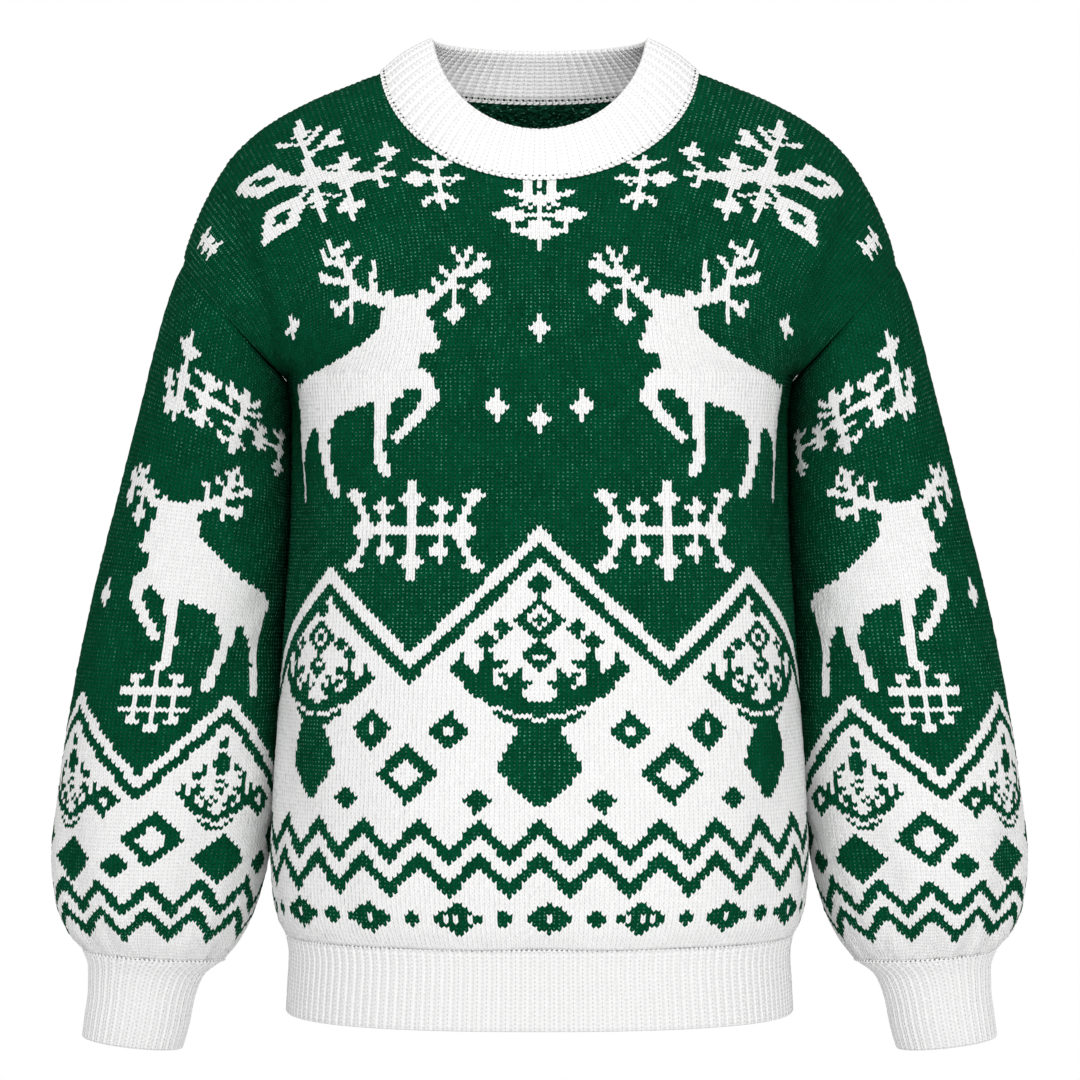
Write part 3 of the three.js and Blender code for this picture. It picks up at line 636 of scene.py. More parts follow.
def draw_wide_flake(chart, x, y, spread, half):
    """A bar with three sprigs across it, and a fork with thick tips at each end."""
    chart.stroke([(x - spread * 0.9, y), (x + spread * 0.9, y)], 4.2)
    draw_sprig(chart, x, y, half, reach=7.5)
    for hand in (-1, 1):
        draw_sprig(chart, x + hand * spread * 0.46, y, half * 0.64, hand * 0.5, reach=5.5)
        chart.diamond(x + hand * spread * 0.86, y, 7, 8, WHITE)
        for end in (-1, 1):
            tip_x, tip_y = x + hand * spread, y + end * half * 0.76
            chart.stroke([(x + hand * spread * 0.66, y), (tip_x, tip_y)], 5)
            chart.diamond(tip_x, tip_y, 6.5, 6, WHITE)
            chart.stroke([(tip_x - hand * 1, tip_y - end * 3), (tip_x - hand * 9, tip_y)], 3.6)


def draw_leaf(chart, root, tip, broad):
    """An open leaf: a line round it, and the ground in the middle."""
    along_x, along_y = tip[0] - root[0], tip[1] - root[1]
    length = math.hypot(along_x, along_y)
    side_x, side_y = -along_y / length * broad, along_x / length * broad
    middle_x, middle_y = (root[0] + tip[0]) / 2, (root[1] + tip[1]) / 2
    above, below = (middle_x + side_x, middle_y + side_y), (middle_x - side_x, middle_y - side_y)
    chart.stroke([root, above, tip, below, root], 8)


def draw_corner_flake(chart, x, y):
    """The large flake below each shoulder: two sprigs, a twig and two open leaves."""
    draw_sprig(chart, x, y + 8, 49, 4.5, reach=13)
    draw_sprig(chart, x + 19, y - 17, 30, 4.5, reach=9)
    chart.limb([(x, y, 6), (x + 20, y - 10, 13), (x + 36, y - 15, 6), (x + 50, y - 18, 5)])
    chart.stroke([(x + 37, y - 15), (x + 45, y - 6)], 4)
    chart.stroke([(x + 37, y - 16), (x + 42, y - 27)], 4)
    chart.stroke([(x + 3, y + 22), (x + 16, y + 28), (x + 25, y + 36)], 4.4)
    chart.stroke([(x + 12, y + 27), (x + 24, y + 25)], 4)
    draw_leaf(chart, (x - 14, y + 6), (x - 44, y + 27), 10)
    draw_leaf(chart, (x - 15, y - 18), (x - 46, y - 34), 10)
    chart.stroke([(x, y), (x - 14, y + 6)], 5)
    chart.stroke([(x, y - 2), (x - 15, y - 18)], 4.4)
    chart.diamond(x, y, 12, 13, WHITE)


def draw_neck_flake(chart, y):
    """The flake under the middle of the neckband: a stem with three pairs of toothed wings."""
    chart.stroke([(0, y - 22), (0, y + 16)], 6)
    chart.stroke([(0, y + 24), (0, y + 34)], 6)
    chart.limb([(0, y + 10, 4), (-8, y + 14, 9), (-13, y + 16, 5), (-22, y + 20, 3.2)])
    chart.stroke([(-7, y + 16), (-9, y + 34)], 4.5)
    chart.stroke([(-5, y + 7), (-12, y + 9)], 3)
    chart.limb([(0, y + 1, 3.4), (-12, y + 1, 5), (-17, y + 1, 11), (-24, y + 3, 8), (-33, y + 4, 3)])
    chart.stroke([(-18, y + 1), (-19, y - 8)], 5)
    chart.limb([(0, y - 11, 13), (-6, y - 12, 10), (-15, y - 11, 3.2)])
    chart.stroke([(-8, y - 4), (-4, y - 5)], 3)


def draw_lattice_flake(chart, x, y, half_width, half):
    """Two bars crossed by three stems with forked ends."""
    for level in (0.25, -0.3):
        chart.stroke([(x - half_width, y + half * level), (x + half_width, y + half * level)], 3.6)
    for along, reach in ((-0.55, 0.74), (0, 1), (0.55, 0.74)):
        stem = x + half_width * along
        chart.stroke([(stem, y - half * reach), (stem, y + half * reach)], 3.4)
        for end in (-1, 1):
            tip = y + end * half * reach
            chart.stroke([(stem - 4, tip), (stem, tip - end * 4), (stem + 4, tip)], 3.2)


def draw_small_flake(chart, x, y):
    """The small flake beside the neckband: one sprig with a bar across it."""
    draw_sprig(chart, x, y, 22, 0, reach=12)
    chart.stroke([(x - 20, y + 2), (x + 16, y)], 4)
    chart.diamond(x - 13, y + 1, 8, 9, WHITE)
    chart.stroke([(x + 8, y - 4), (x + 15, y + 5)], 3.6)


def draw_star(chart, x, y, size=7.5):
    chart.diamond(x, y, size * 1.15, size * 0.9, WHITE)
    chart.stroke([(x, y - size * 1.1), (x, y + size * 1.1)], 3.3)

# %% [markdown]
# Below the border the ground is white, and the pattern is green on it: an ornament of diamonds over
# a bough, with a bauble that hangs from it.
# %% Ornaments and baubles
BAUBLE_NECK = 10.0
BAUBLE_WIDEST = 0.55  # how far down the bauble is widest
BAUBLE_FOOT = 0.16  # width of its foot, as a share of the widest
ORNAMENT_TWIGS = [
    [(54, 30, 10), (38, 17, 13), (20, 7, 14), (0, 1, 11)],
    [(53, 30, 7), (51, 39, 5)],
    [(37, 22, 10), (34, 39, 6)],
    [(36, 30, 8), (23, 34, 5)],
    [(19, 8, 12), (13, 28, 5)],
    [(17, 18, 6), (25, 26, 4)],
    [(16, 14, 6), (6, 21, 4)],
    [(27, 1, 5), (14, -6, 7), (0, -9, 9)],
]


def draw_ornament(chart, x, y, tall=1.0, wide=1.0):
    """Diamonds over a bough. y is the level of the base of the bough."""
    def at(across, up):
        return x + across * wide, y + up * tall

    chart.diamond(*at(0, 85.5), 9 * wide, 8 * tall, GREEN)
    chart.ring(*at(0, 62), 18.5 * wide, 15.5 * tall, 0.52)
    chart.diamond(*at(0, 62), 4.5, 4, GREEN)
    chart.diamond(*at(0, 37.5), 12 * wide, 11 * tall, GREEN)
    chart.stroke([at(-3, 38), at(3, 38)], 3.0 * wide)
    for hand in (-1, 1):
        chart.diamond(*at(25 * hand, 56.5), 6.5 * wide, 6.5 * tall, GREEN)
        chart.diamond(*at(35 * hand, 48), 8 * wide, 8 * tall, GREEN)
        for twig in ORNAMENT_TWIGS:
            chart.limb([(*at(a * hand, b), width * wide) for a, b, width in twig], GREEN)
        chart.stroke([at(29 * hand, 5), at(14 * hand, -1.5), at(0, -4)], 2.8)


def draw_bauble(chart, x, top, bottom, half_width):
    """A neck that widens to the middle and narrows to a blunt foot."""
    down = (top - chart.y) / (top - bottom)
    upper = BAUBLE_NECK + (half_width - BAUBLE_NECK) * np.clip(down / BAUBLE_WIDEST, 0, 1) ** 0.9
    narrowing = np.clip((down - BAUBLE_WIDEST) / (1 - BAUBLE_WIDEST), 0, 1)
    lower = half_width * (1 - (1 - BAUBLE_FOOT) * narrowing)
    half = np.where(down < BAUBLE_WIDEST, upper, lower)
    chart.ink((np.abs(chart.x - x) <= half) & (down >= 0) & (down <= 1), GREEN)

# %% [markdown]
# The front chart, from the top down: flakes round the neck, two stags that face each other, wide
# flakes, a double chevron border, and the white field with its ornaments, diamonds and zigzags. It
# is drawn on the left half and mirrored, as such a pattern is, except for the lowest row, which is
# counted off across the whole panel. The back has the same chart.
# %% Charts of the body
BORDER = ((0, 280), (87, 197), (151, 254), (251, 168))  # x from the middle, height of the upper edge
BORDER_WHITE, BORDER_GREEN = 10.5, 10.5
LOWEST_ROW = 59.5  # distance between its wide diamonds


def body_chart():
    chart = Chart(PANEL_WALES, PANEL_COURSES)
    edge = np.interp(-chart.x, [place[0] for place in BORDER], [place[1] for place in BORDER])
    chart.ink(chart.y < edge, WHITE)
    below = edge - chart.y
    chart.ink((below > BORDER_WHITE) & (below < BORDER_WHITE + BORDER_GREEN), GREEN)
    draw_corner_flake(chart, -146, 549)
    draw_small_flake(chart, -68, 523)
    draw_star(chart, -95, 554, size=7)
    draw_sprig(chart, -228, 565, 13, 0, reach=7)
    draw_neck_flake(chart, 490)
    draw_stag(chart, -181, 298)
    for x, y in ((-198, 440), (0, 412), (-29, 360), (0, 350)):
        draw_star(chart, x, y)
    draw_wide_flake(chart, -88, 278, 45, 31)
    draw_ornament(chart, 0, 157)
    draw_bauble(chart, 0, 150, 97, 29)
    draw_ornament(chart, -159, 157, 0.8, 0.8)
    draw_bauble(chart, -164, 152, 99, 25)
    for x in (-112, -59):
        chart.ring(x, 146, 14.5, 13.5, 0.3)
    chart.ring(-86, 117.5, 21.5, 20.5, 0.5)
    for x in (-129, -41):
        chart.diamond(x, 100, 9.5, 8.5, GREEN)
    for peak in (83, 61):
        chart.zigzag(peak, peak - 20, 38.5, 10.5)
    chart.x = chart.straight_x
    for k in range(-4, 5):
        middle = 6.5 + LOWEST_ROW * k
        chart.diamond(middle, 22, 18, 11, GREEN)
        chart.diamond(middle, 22, 2.5, 4, WHITE)
        for hand in (-1, 1):
            chart.diamond(middle + 8 * hand, 22, 2, 2, WHITE)
        chart.diamond(middle + LOWEST_ROW / 2, 22, 7, 6.5, GREEN)
    return chart.yarn


body_yarn = body_chart()
print("body chart:", body_yarn.shape, "share in green", round(float(body_yarn.mean()), 2))

# %% [markdown]
# The sleeve chart goes once round the arm, so its border has a whole number of chevrons. A stag
# stands on the front of the sleeve and faces outward, with a bough of sprigs above it. The back of
# the sleeve has the same again.
# %% Chart of the sleeves
CHEVRONS = 4
FIRST_PEAK = 70.0  # how far the first peak is from the side next to the body


def draw_bough(chart, start):
    """A twig above the stag with five sprigs and a few long barbs."""
    chart.stroke([(start + x, y) for x, y in ((134, 394), (112, 394), (86, 392), (60, 386), (36, 381))], 4)
    for x, y, half, lean, reach in (
        (134, 398, 25, -1.5, 9), (114, 392, 16, -1.5, 9), (85, 390, 26, -5, 10),
        (61, 387, 9, -3, 6), (36, 381, 22, -9, 9),
    ):
        draw_sprig(chart, start + x, y, half, lean, reach)
    barbs = ((82, 403, 64, 416), (84, 397, 62, 406), (88, 381, 99, 384), (89, 371, 100, 374))
    for x, y, tip_x, tip_y in barbs:
        chart.stroke([(start + x, y), (start + tip_x, tip_y)], 3.4)
    for x, y in ((147, 392), (144, 381), (94, 407)):
        chart.diamond(start + x, y, 5.5, 8, WHITE)


def sleeve_chart():
    chart = Chart(SLEEVE_WALES, SLEEVE_COURSES, around=True)
    period = chart.width / CHEVRONS
    share = np.abs((chart.x - FIRST_PEAK) / period % 1 - 0.5) * 2
    below = 137 + 57 * share - chart.y
    chart.ink(below > 0, WHITE)
    chart.ink((below > 9.5) & (below < 19), GREEN)
    for half in (0, 1):
        start = half * chart.width / 2
        draw_stag(chart, start + 62, 193, 0.77, 0.94, antlers=0.62)
        draw_lattice_flake(chart, start + 120, 190, 24, 21)
        draw_star(chart, start + 172, 256)
        draw_bough(chart, start)
    for k in range(CHEVRONS):
        peak = (FIRST_PEAK + k * period) % chart.width
        valley = (FIRST_PEAK + (k + 0.5) * period) % chart.width
        draw_ornament(chart, peak, 106, 0.64, 0.47)
        chart.diamond(peak - 7, 78, 20, 18, GREEN)
        chart.ring(valley + 22, 119, 12, 12, 0.34)
        chart.ring(valley - 14, 93, 21.5, 20.5, 0.5)
        chart.ring(valley + 10, 74, 10.5, 10, 0.22)
    for peak in (60, 40):
        chart.zigzag(peak, peak - 19, chart.width / 12, 10)
    return chart.yarn


sleeve_yarn = sleeve_chart()
print("sleeve chart:", sleeve_yarn.shape, "share in green", round(float(sleeve_yarn.mean()), 2))

# %% [markdown]
# Two-colour knitting shows two things that a flat colour lacks. Each stitch is a pair of plump legs,
# and the unused yarn, which floats behind, shows through as small pale specks. Where the legs meet,
# the gaps get painted shade, a darker colour. This node group works both out from the stitch
# coordinates that the mesh carries. It gives masks and a height only, and the shader itself stays in
# each material.
# %% Shader group for the stitches
class Nodes:
    """Short ways to add and join nodes in one tree."""

    def __init__(self, tree):
        self.tree = tree

    def put(self, socket, value):
        if isinstance(value, bpy.types.NodeSocket):
            self.tree.links.new(value, socket)
        else:
            socket.default_value = value

    def add(self, kind, inputs=None, **settings):
        """A node with these settings. Each input takes a plain value or the output of another node."""
        node = self.tree.nodes.new(kind)
        for key, value in settings.items():
            setattr(node, key, value)
        for key, value in (inputs or {}).items():
            self.put(node.inputs[key], value)
        return node

    def math(self, operation, *values):
        return self.add("ShaderNodeMath", dict(enumerate(values)), operation=operation).outputs[0]

    def from_half(self, value):
        """How far the part of the value after the point is from a half."""
        return self.math("ABSOLUTE", self.math("SUBTRACT", self.math("FRACT", value), 0.5))

    def ramp(self, value, low, high, to_low=0.0, to_high=1.0):
        inputs = dict(enumerate((value, low, high, to_low, to_high)))
        return self.add("ShaderNodeMapRange", inputs, interpolation_type="SMOOTHSTEP").outputs[0]

    def mix(self, factor, first, second):
        node = self.add("ShaderNodeMix", {"Factor": factor, "A": first, "B": second}, data_type="RGBA")
        return next(socket for socket in node.outputs if socket.type == "RGBA")

    def noise(self, vector, scale, detail=2.0, roughness=0.5):
        inputs = {"Vector": vector, "Scale": scale, "Detail": detail, "Roughness": roughness}
        return self.add("ShaderNodeTexNoise", inputs).outputs[0]


def new_group(name, tree_kind, inputs, outputs):
    """A node group with these sockets, the Nodes of its tree, and the sockets of what comes in."""
    group = bpy.data.node_groups.new(name, tree_kind)
    for direction, sockets in (("INPUT", inputs), ("OUTPUT", outputs)):
        for socket, kind in sockets.items():
            group.interface.new_socket(socket, in_out=direction, socket_type="NodeSocket" + kind)
    n = Nodes(group)
    return group, n, n.add("NodeGroupInput").outputs


RIB_REPEAT = 3.0  # two columns of knit stitches and one purl column


def rib_group():
    """Masks of the purl columns and of the small gaps between each pair of knit columns, for painted
    shade.
    """
    masks = dict.fromkeys(("Purl", "Dot_Shade", "Bumps"), "Float")
    group, n, source = new_group("rib_columns", "ShaderNodeTree", {"Stitch": "Vector"}, masks)
    u, v, _ = n.add("ShaderNodeSeparateXYZ", {0: source["Stitch"]}).outputs
    repeat = n.math("ADD", n.math("DIVIDE", n.math("SUBTRACT", u, 0.5), RIB_REPEAT), 0.5)
    from_purl = n.math("MULTIPLY", n.from_half(repeat), RIB_REPEAT)
    from_line = n.math("ABSOLUTE", n.math("SUBTRACT", from_purl, RIB_REPEAT / 2))
    along = n.from_half(v)
    dot_shade = n.math("MULTIPLY", n.ramp(from_line, 0.3, 0.08), n.ramp(along, 0.4, 0.15))
    purl, bumps = n.ramp(from_purl, 0.72, 0.34), n.ramp(along, 0.45, 0.05)
    n.add("NodeGroupOutput", {"Purl": purl, "Dot_Shade": dot_shade, "Bumps": bumps})
    return group


def stitch_group():
    """Yarn height, painted shade in the gaps, pale specks, and the light and dark of fibres."""
    masks = dict.fromkeys(("Height", "Gap_Shade", "Speck", "Fibre", "Mottle"), "Float")
    coordinates = {"Stitch": "Vector", "Place": "Vector"}
    group, n, source = new_group("stitch_legs", "ShaderNodeTree", coordinates, masks)
    u, v, _ = n.add("ShaderNodeSeparateXYZ", {0: source["Stitch"]}).outputs
    from_middle = n.from_half(n.math("MULTIPLY", u, 2.0))
    roundness = n.math("SUBTRACT", 0.26, n.math("POWER", from_middle, 2.0))
    plump = n.math("SQRT", n.math("MAXIMUM", roundness, 0.0))
    along = n.from_half(v)
    height = n.math("MULTIPLY", plump, n.ramp(along, 0.5, 0.1, 0.45, 1.0))
    across_squared = n.math("POWER", n.math("MULTIPLY", n.from_half(u), 1.16), 2.0)
    along_squared = n.math("POWER", n.math("SUBTRACT", 0.5, along), 2.0)
    spot = n.math("SQRT", n.math("ADD", across_squared, along_squared))
    # Painted shade: the spot where the two legs of each stitch meet is darkened.
    gap_shade = n.ramp(spot, 0.3, 0.08)
    cell = n.add("ShaderNodeVectorMath", {0: source["Stitch"]}, operation="FLOOR").outputs[0]
    chance = n.add("ShaderNodeTexWhiteNoise", {"Vector": cell}, noise_dimensions="2D").outputs["Value"]
    region = n.math("MULTIPLY", n.noise(source["Place"], 9.0, 2.0), 1.6)
    likely = n.ramp(n.math("ADD", chance, region), 1.25, 1.9, 0.16, 1.0)
    speck = n.math("MULTIPLY", n.ramp(spot, 0.26, 0.08), likely)
    fibre, mottle = (n.noise(source["Place"], scale, 3.0, 0.6) for scale in (1400.0, 60.0))
    values = (height, gap_shade, speck, fibre, mottle)
    n.add("NodeGroupOutput", dict(zip(masks, values)))
    return group


STITCH_GROUP = stitch_group()
RIB_GROUP = rib_group()
for group in (STITCH_GROUP, RIB_GROUP):
    print("shader group", group.name, "with", len(group.nodes), "nodes")

# %% [markdown]
# The yarn is soft wool or acrylic. Its loose fibres scatter the light, so every shader is rough with
# hardly any shine, and the colour changes a little from fibre to fibre. The two-colour jersey, its
# inside, the white rib and the linking yarns are materials of their own. The jersey reads from each
# face which yarn it is knitted in, so one material serves both colours.
# %% Materials
# GREEN_SHADE, WHITE_SHADE and PURL_SHADE are painted shade for the sunken gaps and purl columns.
GREEN_YARN = (0.0, 0.033, 0.0115, 1)
GREEN_SHADE = (0.0, 0.006, 0.002, 1)
GREEN_LIGHT = (0.0003, 0.084, 0.035, 1)
SPECK_COLOUR = (0.14, 0.38, 0.26, 1)
WHITE_YARN = (0.86, 0.86, 0.857, 1)
WHITE_SHADE = (0.50, 0.50, 0.50, 1)
RIB_YARN = (0.90, 0.90, 0.897, 1)
WHITE_LIGHT = (0.93, 0.93, 0.927, 1)
PURL_SHADE = (0.77, 0.77, 0.77, 1)
INSIDE_DARK = (0.0008, 0.016, 0.007, 1)
INSIDE_LIGHT = (0.006, 0.066, 0.034, 1)
YARN_ROUGHNESS = 0.92
YARN_SHINE = 0.012
RELIEF = 0.0011  # height of the yarn in metres, for the bump


def new_material(name):
    material = bpy.data.materials.new(name)
    material.use_nodes = True
    shader = material.node_tree.nodes["Principled BSDF"]
    shader.inputs["Roughness"].default_value = YARN_ROUGHNESS
    shader.inputs["Specular IOR Level"].default_value = YARN_SHINE
    return material, shader, Nodes(material.node_tree)


def paint(n, shader, colour, height, strength):
    """Gives the shader its colour and a bump of this height."""
    raised = n.add("ShaderNodeBump", {"Strength": strength, "Distance": RELIEF, "Height": height})
    n.put(shader.inputs["Base Color"], colour)
    n.put(shader.inputs["Normal"], raised.outputs[0])


def object_place(n):
    return n.add("ShaderNodeTexCoord").outputs["Object"]


def add_legs(n):
    """The stitch coordinates, what the stitch group gives for them, and how light each fibre is."""
    stitch = n.add("ShaderNodeUVMap", uv_map="stitches").outputs[0]
    coordinates = {"Stitch": stitch, "Place": object_place(n)}
    legs = n.add("ShaderNodeGroup", coordinates, node_tree=STITCH_GROUP).outputs
    fibre = n.math("MULTIPLY", legs["Fibre"], 0.82)
    lift = n.ramp(n.math("ADD", fibre, n.math("MULTIPLY", legs["Mottle"], 0.18)), 0.38, 0.62)
    return stitch, legs, lift


def jersey_material(name):
    """Two-colour stockinette with painted shade in its gaps, less on white than on green, as white
    scatters light.
    """
    material, shader, n = new_material(name)
    _, legs, lift = add_legs(n)
    # Painted shade: WHITE_SHADE and GREEN_SHADE are mixed in where the legs of a stitch meet.
    white = n.mix(n.math("MULTIPLY", legs["Gap_Shade"], 0.5), n.mix(lift, WHITE_YARN, WHITE_LIGHT), WHITE_SHADE)
    green = n.mix(legs["Gap_Shade"], n.mix(lift, GREEN_YARN, GREEN_LIGHT), GREEN_SHADE)
    green = n.mix(legs["Speck"], green, SPECK_COLOUR)
    yarn = n.add("ShaderNodeAttribute", attribute_name="yarn").outputs["Fac"]
    fluff = n.math("MULTIPLY", legs["Fibre"], 0.35)
    paint(n, shader, n.mix(yarn, white, green), n.math("ADD", legs["Height"], fluff), 0.9)
    return material


def rib_material(name):
    """White rib with painted shade in the sunken purl columns and in a row of small gaps between the knit
    ones.
    """
    material, shader, n = new_material(name)
    stitch, legs, lift = add_legs(n)
    purl, dot_shade, bumps = n.add("ShaderNodeGroup", {"Stitch": stitch}, node_tree=RIB_GROUP).outputs
    # Painted shade: the gaps between legs, the sunken purl columns (less on their bumps) and the small
    # gaps between the knit pairs are darkened.
    white = n.mix(n.math("MULTIPLY", legs["Gap_Shade"], 0.1), n.mix(lift, RIB_YARN, WHITE_LIGHT), WHITE_SHADE)
    white = n.mix(n.math("MULTIPLY", purl, n.math("MULTIPLY_ADD", bumps, -0.5, 1.0)), white, PURL_SHADE)
    white = n.mix(n.math("MULTIPLY", dot_shade, 0.6), white, WHITE_SHADE)
    knit = n.math("MULTIPLY", legs["Height"], n.math("SUBTRACT", 1.0, purl))
    relief = n.math("ADD", knit, n.math("MULTIPLY", bumps, n.math("MULTIPLY", purl, 0.4)))
    paint(n, shader, white, n.math("ADD", relief, n.math("MULTIPLY", legs["Fibre"], 0.3)), 0.8)
    return material


def yarn_material(name, dark, light):
    """Plain yarn of one colour, for the linking stitches."""
    material, shader, n = new_material(name)
    fibre = n.noise(object_place(n), 1400.0, 3.0, 0.6)
    paint(n, shader, n.mix(n.ramp(fibre, 0.36, 0.66), dark, light), fibre, 0.4)
    return material


def inside_material(name):
    """The back of the jersey: purl bumps, and floats that run across in short bars."""
    material, shader, n = new_material(name)
    squash = {"Vector": object_place(n), "Scale": (0.45, 0.45, 1.0)}
    squashed = n.add("ShaderNodeMapping", squash).outputs[0]
    bars = n.noise(squashed, 620.0, 2.0)
    specks = n.ramp(n.noise(squashed, 900.0, 1.0), 0.64, 0.74)
    colour = n.mix(n.ramp(bars, 0.42, 0.66), INSIDE_DARK, INSIDE_LIGHT)
    paint(n, shader, n.mix(specks, colour, SPECK_COLOUR), bars, 0.9)
    return material


JERSEY = jersey_material("two_colour_jersey")
JERSEY_INSIDE = inside_material("jersey_inside")
RIB = rib_material("white_rib")
WHITE_LINK = yarn_material("white_linking_yarn", WHITE_YARN, WHITE_LIGHT)
# The green linking yarn takes GREEN_SHADE as its dark tone: green yarn, made darker by painted shade where
# it sits in the seam.
GREEN_LINK = yarn_material("green_linking_yarn", GREEN_SHADE, GREEN_YARN)

# %% [markdown]
# The body panels. Their rows and columns of half stitches are worked out on the smooth surface.
# Near the neck the surface is eased onto the neck edge, and along each seam the cloth dips a
# little, because the seam pulls it in. Stitches inside the neck are left out, and the last ones are
# pulled onto its edge, as they would be picked up for the neckband.
# %% Front and back panels
SEAM_DIP = 1.1  # how deep the cloth dips at a seam
SEAM_REACH = 5.0  # how far from the seam that shows
NECK_EASE = 28.0  # how far from the neck the surface is eased onto its edge


def ease_to_neck(points):
    """Moves the surface near the neck up or down, so that it meets the neck edge."""
    reach, angle = neck_reach(points)
    columns = [i for i in range(points.shape[1]) if reach[-1, i] < 1]
    places = np.arange(len(points))
    found = []
    for i in columns:
        crossing = np.interp(-1.0, -reach[:, i], places)
        at = np.array([np.interp(crossing, places, points[:, i, axis]) for axis in range(3)])
        at_angle = float(neck_reach(at)[1])
        found.append((at_angle, neck_edge(NECK, np.array(at_angle))[2] - at[2]))
    found = np.array(sorted(found))
    miss = np.interp(angle, found[:, 0], found[:, 1])
    radius = np.hypot(points[..., 0], points[..., 1]) / np.maximum(reach, 1e-6)
    away = np.abs(reach - 1) * radius
    points[..., 2] += miss * np.exp(-((away / NECK_EASE) ** 2))
    return reach, angle, (reach - 1) * radius


def panel_layers(side, wales, courses):
    """Half-stitch grids of the panel: its points, normals, and how far each is from the neck."""
    across, up = grid_sizes(wales, courses)
    across, up = across * 2 - 1, up * (BODY_LENGTH + YOKE_LENGTH)
    points = panel_points(side, up, across)
    reach, angle, away = ease_to_neck(points)
    normals = grid_normals(points) * -side
    normals[up <= BODY_LENGTH, 0] = (-1, 0, 0)
    normals[up <= BODY_LENGTH, -1] = (1, 0, 0)
    in_yoke = up > BODY_LENGTH
    turn = np.pi * (up[in_yoke] - BODY_LENGTH) / YOKE_LENGTH
    armhole = oval_section(SLEEVE, 0.0)
    square = unit(oval_points(armhole, turn) - oval_points(armhole, turn, -1.0)) * (1, -side, 1)
    normals[in_yoke, -1] = square
    normals[in_yoke, 0] = square * (-1, 1, 1)
    normals[-1, :, 1] = 0
    normals = unit(normals)
    x = across * PANEL_HALF_WIDTH
    solid = SOLID_FRONT_FOLDS if side == FRONT else SOLID_BACK_FOLDS
    creases = FRONT_CREASES if side == FRONT else BACK_CREASES
    from_side = (1 - np.abs(across)) * PANEL_HALF_WIDTH
    from_neck = np.minimum(np.maximum(away, 0), up[-1] - up[:, None])
    level = up[:, None]
    fade = smooth_step(from_side / EDGE_FADE) * smooth_step(level / EDGE_FADE)
    fade = fade * smooth_step(from_neck / EDGE_FADE)
    height = (fold_height(solid, np.abs(x), level) + fold_height(creases, x, level)) * fade
    edge = np.minimum(np.minimum(from_side, up[-1] - level), np.maximum(away, 0) + SEAM_REACH)
    height -= SEAM_DIP * np.exp(-((edge / SEAM_REACH) ** 2))
    points = points + normals * height[..., None]
    points[..., 1] += side * SEAM_GAP / 2
    return points, normals, reach, angle


def trim_neck(points, quads, reach, angle, side, inward):
    """Leaves out the faces inside the neck and pulls the last points onto the neck edge.

    inward is how far this layer lies behind the outer one."""
    flat, reach, angle = points.reshape(-1, 3), reach.ravel(), angle.ravel()
    keep = reach[quads].mean(1) > 1
    quads_kept = quads[keep]
    rim = np.unique(np.concatenate([np.array(loop) for loop in boundary_loops(quads_kept)]))
    at_neck = rim[np.isin(rim, quads[~keep])]
    turn = angle[at_neck]
    _, square = band_frame(turn)
    flat[at_neck] = neck_edge(NECK, turn) + square * (-inward) + (0, side * SEAM_GAP / 2, 0)
    return quads_kept, keep


def inner_places(count):
    """Every few half stitches, and the last one."""
    return np.unique(np.append(np.arange(0, count, 2 * INSIDE_STEP), count - 1))


def knit_panel(name, side, yarn):
    courses, wales = yarn.shape
    points, normals, reach, angle = panel_layers(side, wales, courses)
    outer, out_normals = pick_stitches(points), pick_stitches(normals)
    reach_out, angle_out = pick_stitches(reach), pick_stitches(angle)
    rise, slip = stitch_relief(outer.shape[:2], SEED + side)
    outer = outer + out_normals * rise[..., None] + slip
    quads = grid_quads(*outer.shape[:2])
    quads_kept, keep = trim_neck(outer, quads, reach_out, angle_out, side, 0.0)
    colour = np.repeat(yarn, 2, axis=1).ravel()[keep]
    rows, columns = outer.shape[:2]
    u, v = np.meshgrid(np.arange(columns) / 2, np.arange(rows))
    stitch = np.stack([u.ravel(), v.ravel()], -1)[quads_kept].reshape(-1, 2)
    chosen = np.ix_(inner_places(points.shape[0]), inner_places(points.shape[1]))
    inner = points[chosen] - normals[chosen] * WALL
    quads_in = grid_quads(*inner.shape[:2])
    quads_in, _ = trim_neck(inner, quads_in, reach[chosen], angle[chosen], side, WALL)
    if side == BACK:
        # Seen from behind, the columns of the back run the other way, so its faces are turned round.
        quads_kept, quads_in = quads_kept[:, ::-1], quads_in[:, ::-1]
        stitch = stitch.reshape(-1, 4, 2)[:, ::-1].reshape(-1, 2)
    cloth = (JERSEY, JERSEY_INSIDE)
    return closed_shell(name, outer, quads_kept, inner, quads_in, cloth, colour, stitch)


front = knit_panel("knitted_front", FRONT, body_yarn)
back = knit_panel("knitted_back", BACK, body_yarn)
print("front", len(front.data.polygons), "faces, back", len(back.data.polygons))

# %% [markdown]
# The sleeves are tubes. They are made as the panels are, in rings from the armhole to the cuff
# seam, with the same number of stitches in every ring: where the sleeve narrows to the cuff, the
# stitches crowd and the cloth puckers into small gathers. The left sleeve is the right one mirrored,
# with its faces turned so that they still point outward.
# %% Sleeves
GATHERS = 17
GATHER_DEPTH = 1.7
GATHER_LENGTH = 44.0  # how far the gathers run up from the cuff
CUFF_EASE = 8.0  # the last stretch before the cuff, where they lose half of their depth


def round_sleeve(folds):
    """The same folds, with their places round the sleeve in millimetres instead of degrees."""
    ends = ("x", "to_x")
    return [{**fold, **{end: math.radians(fold[end]) * SLEEVE_RADIUS for end in ends}} for fold in folds]


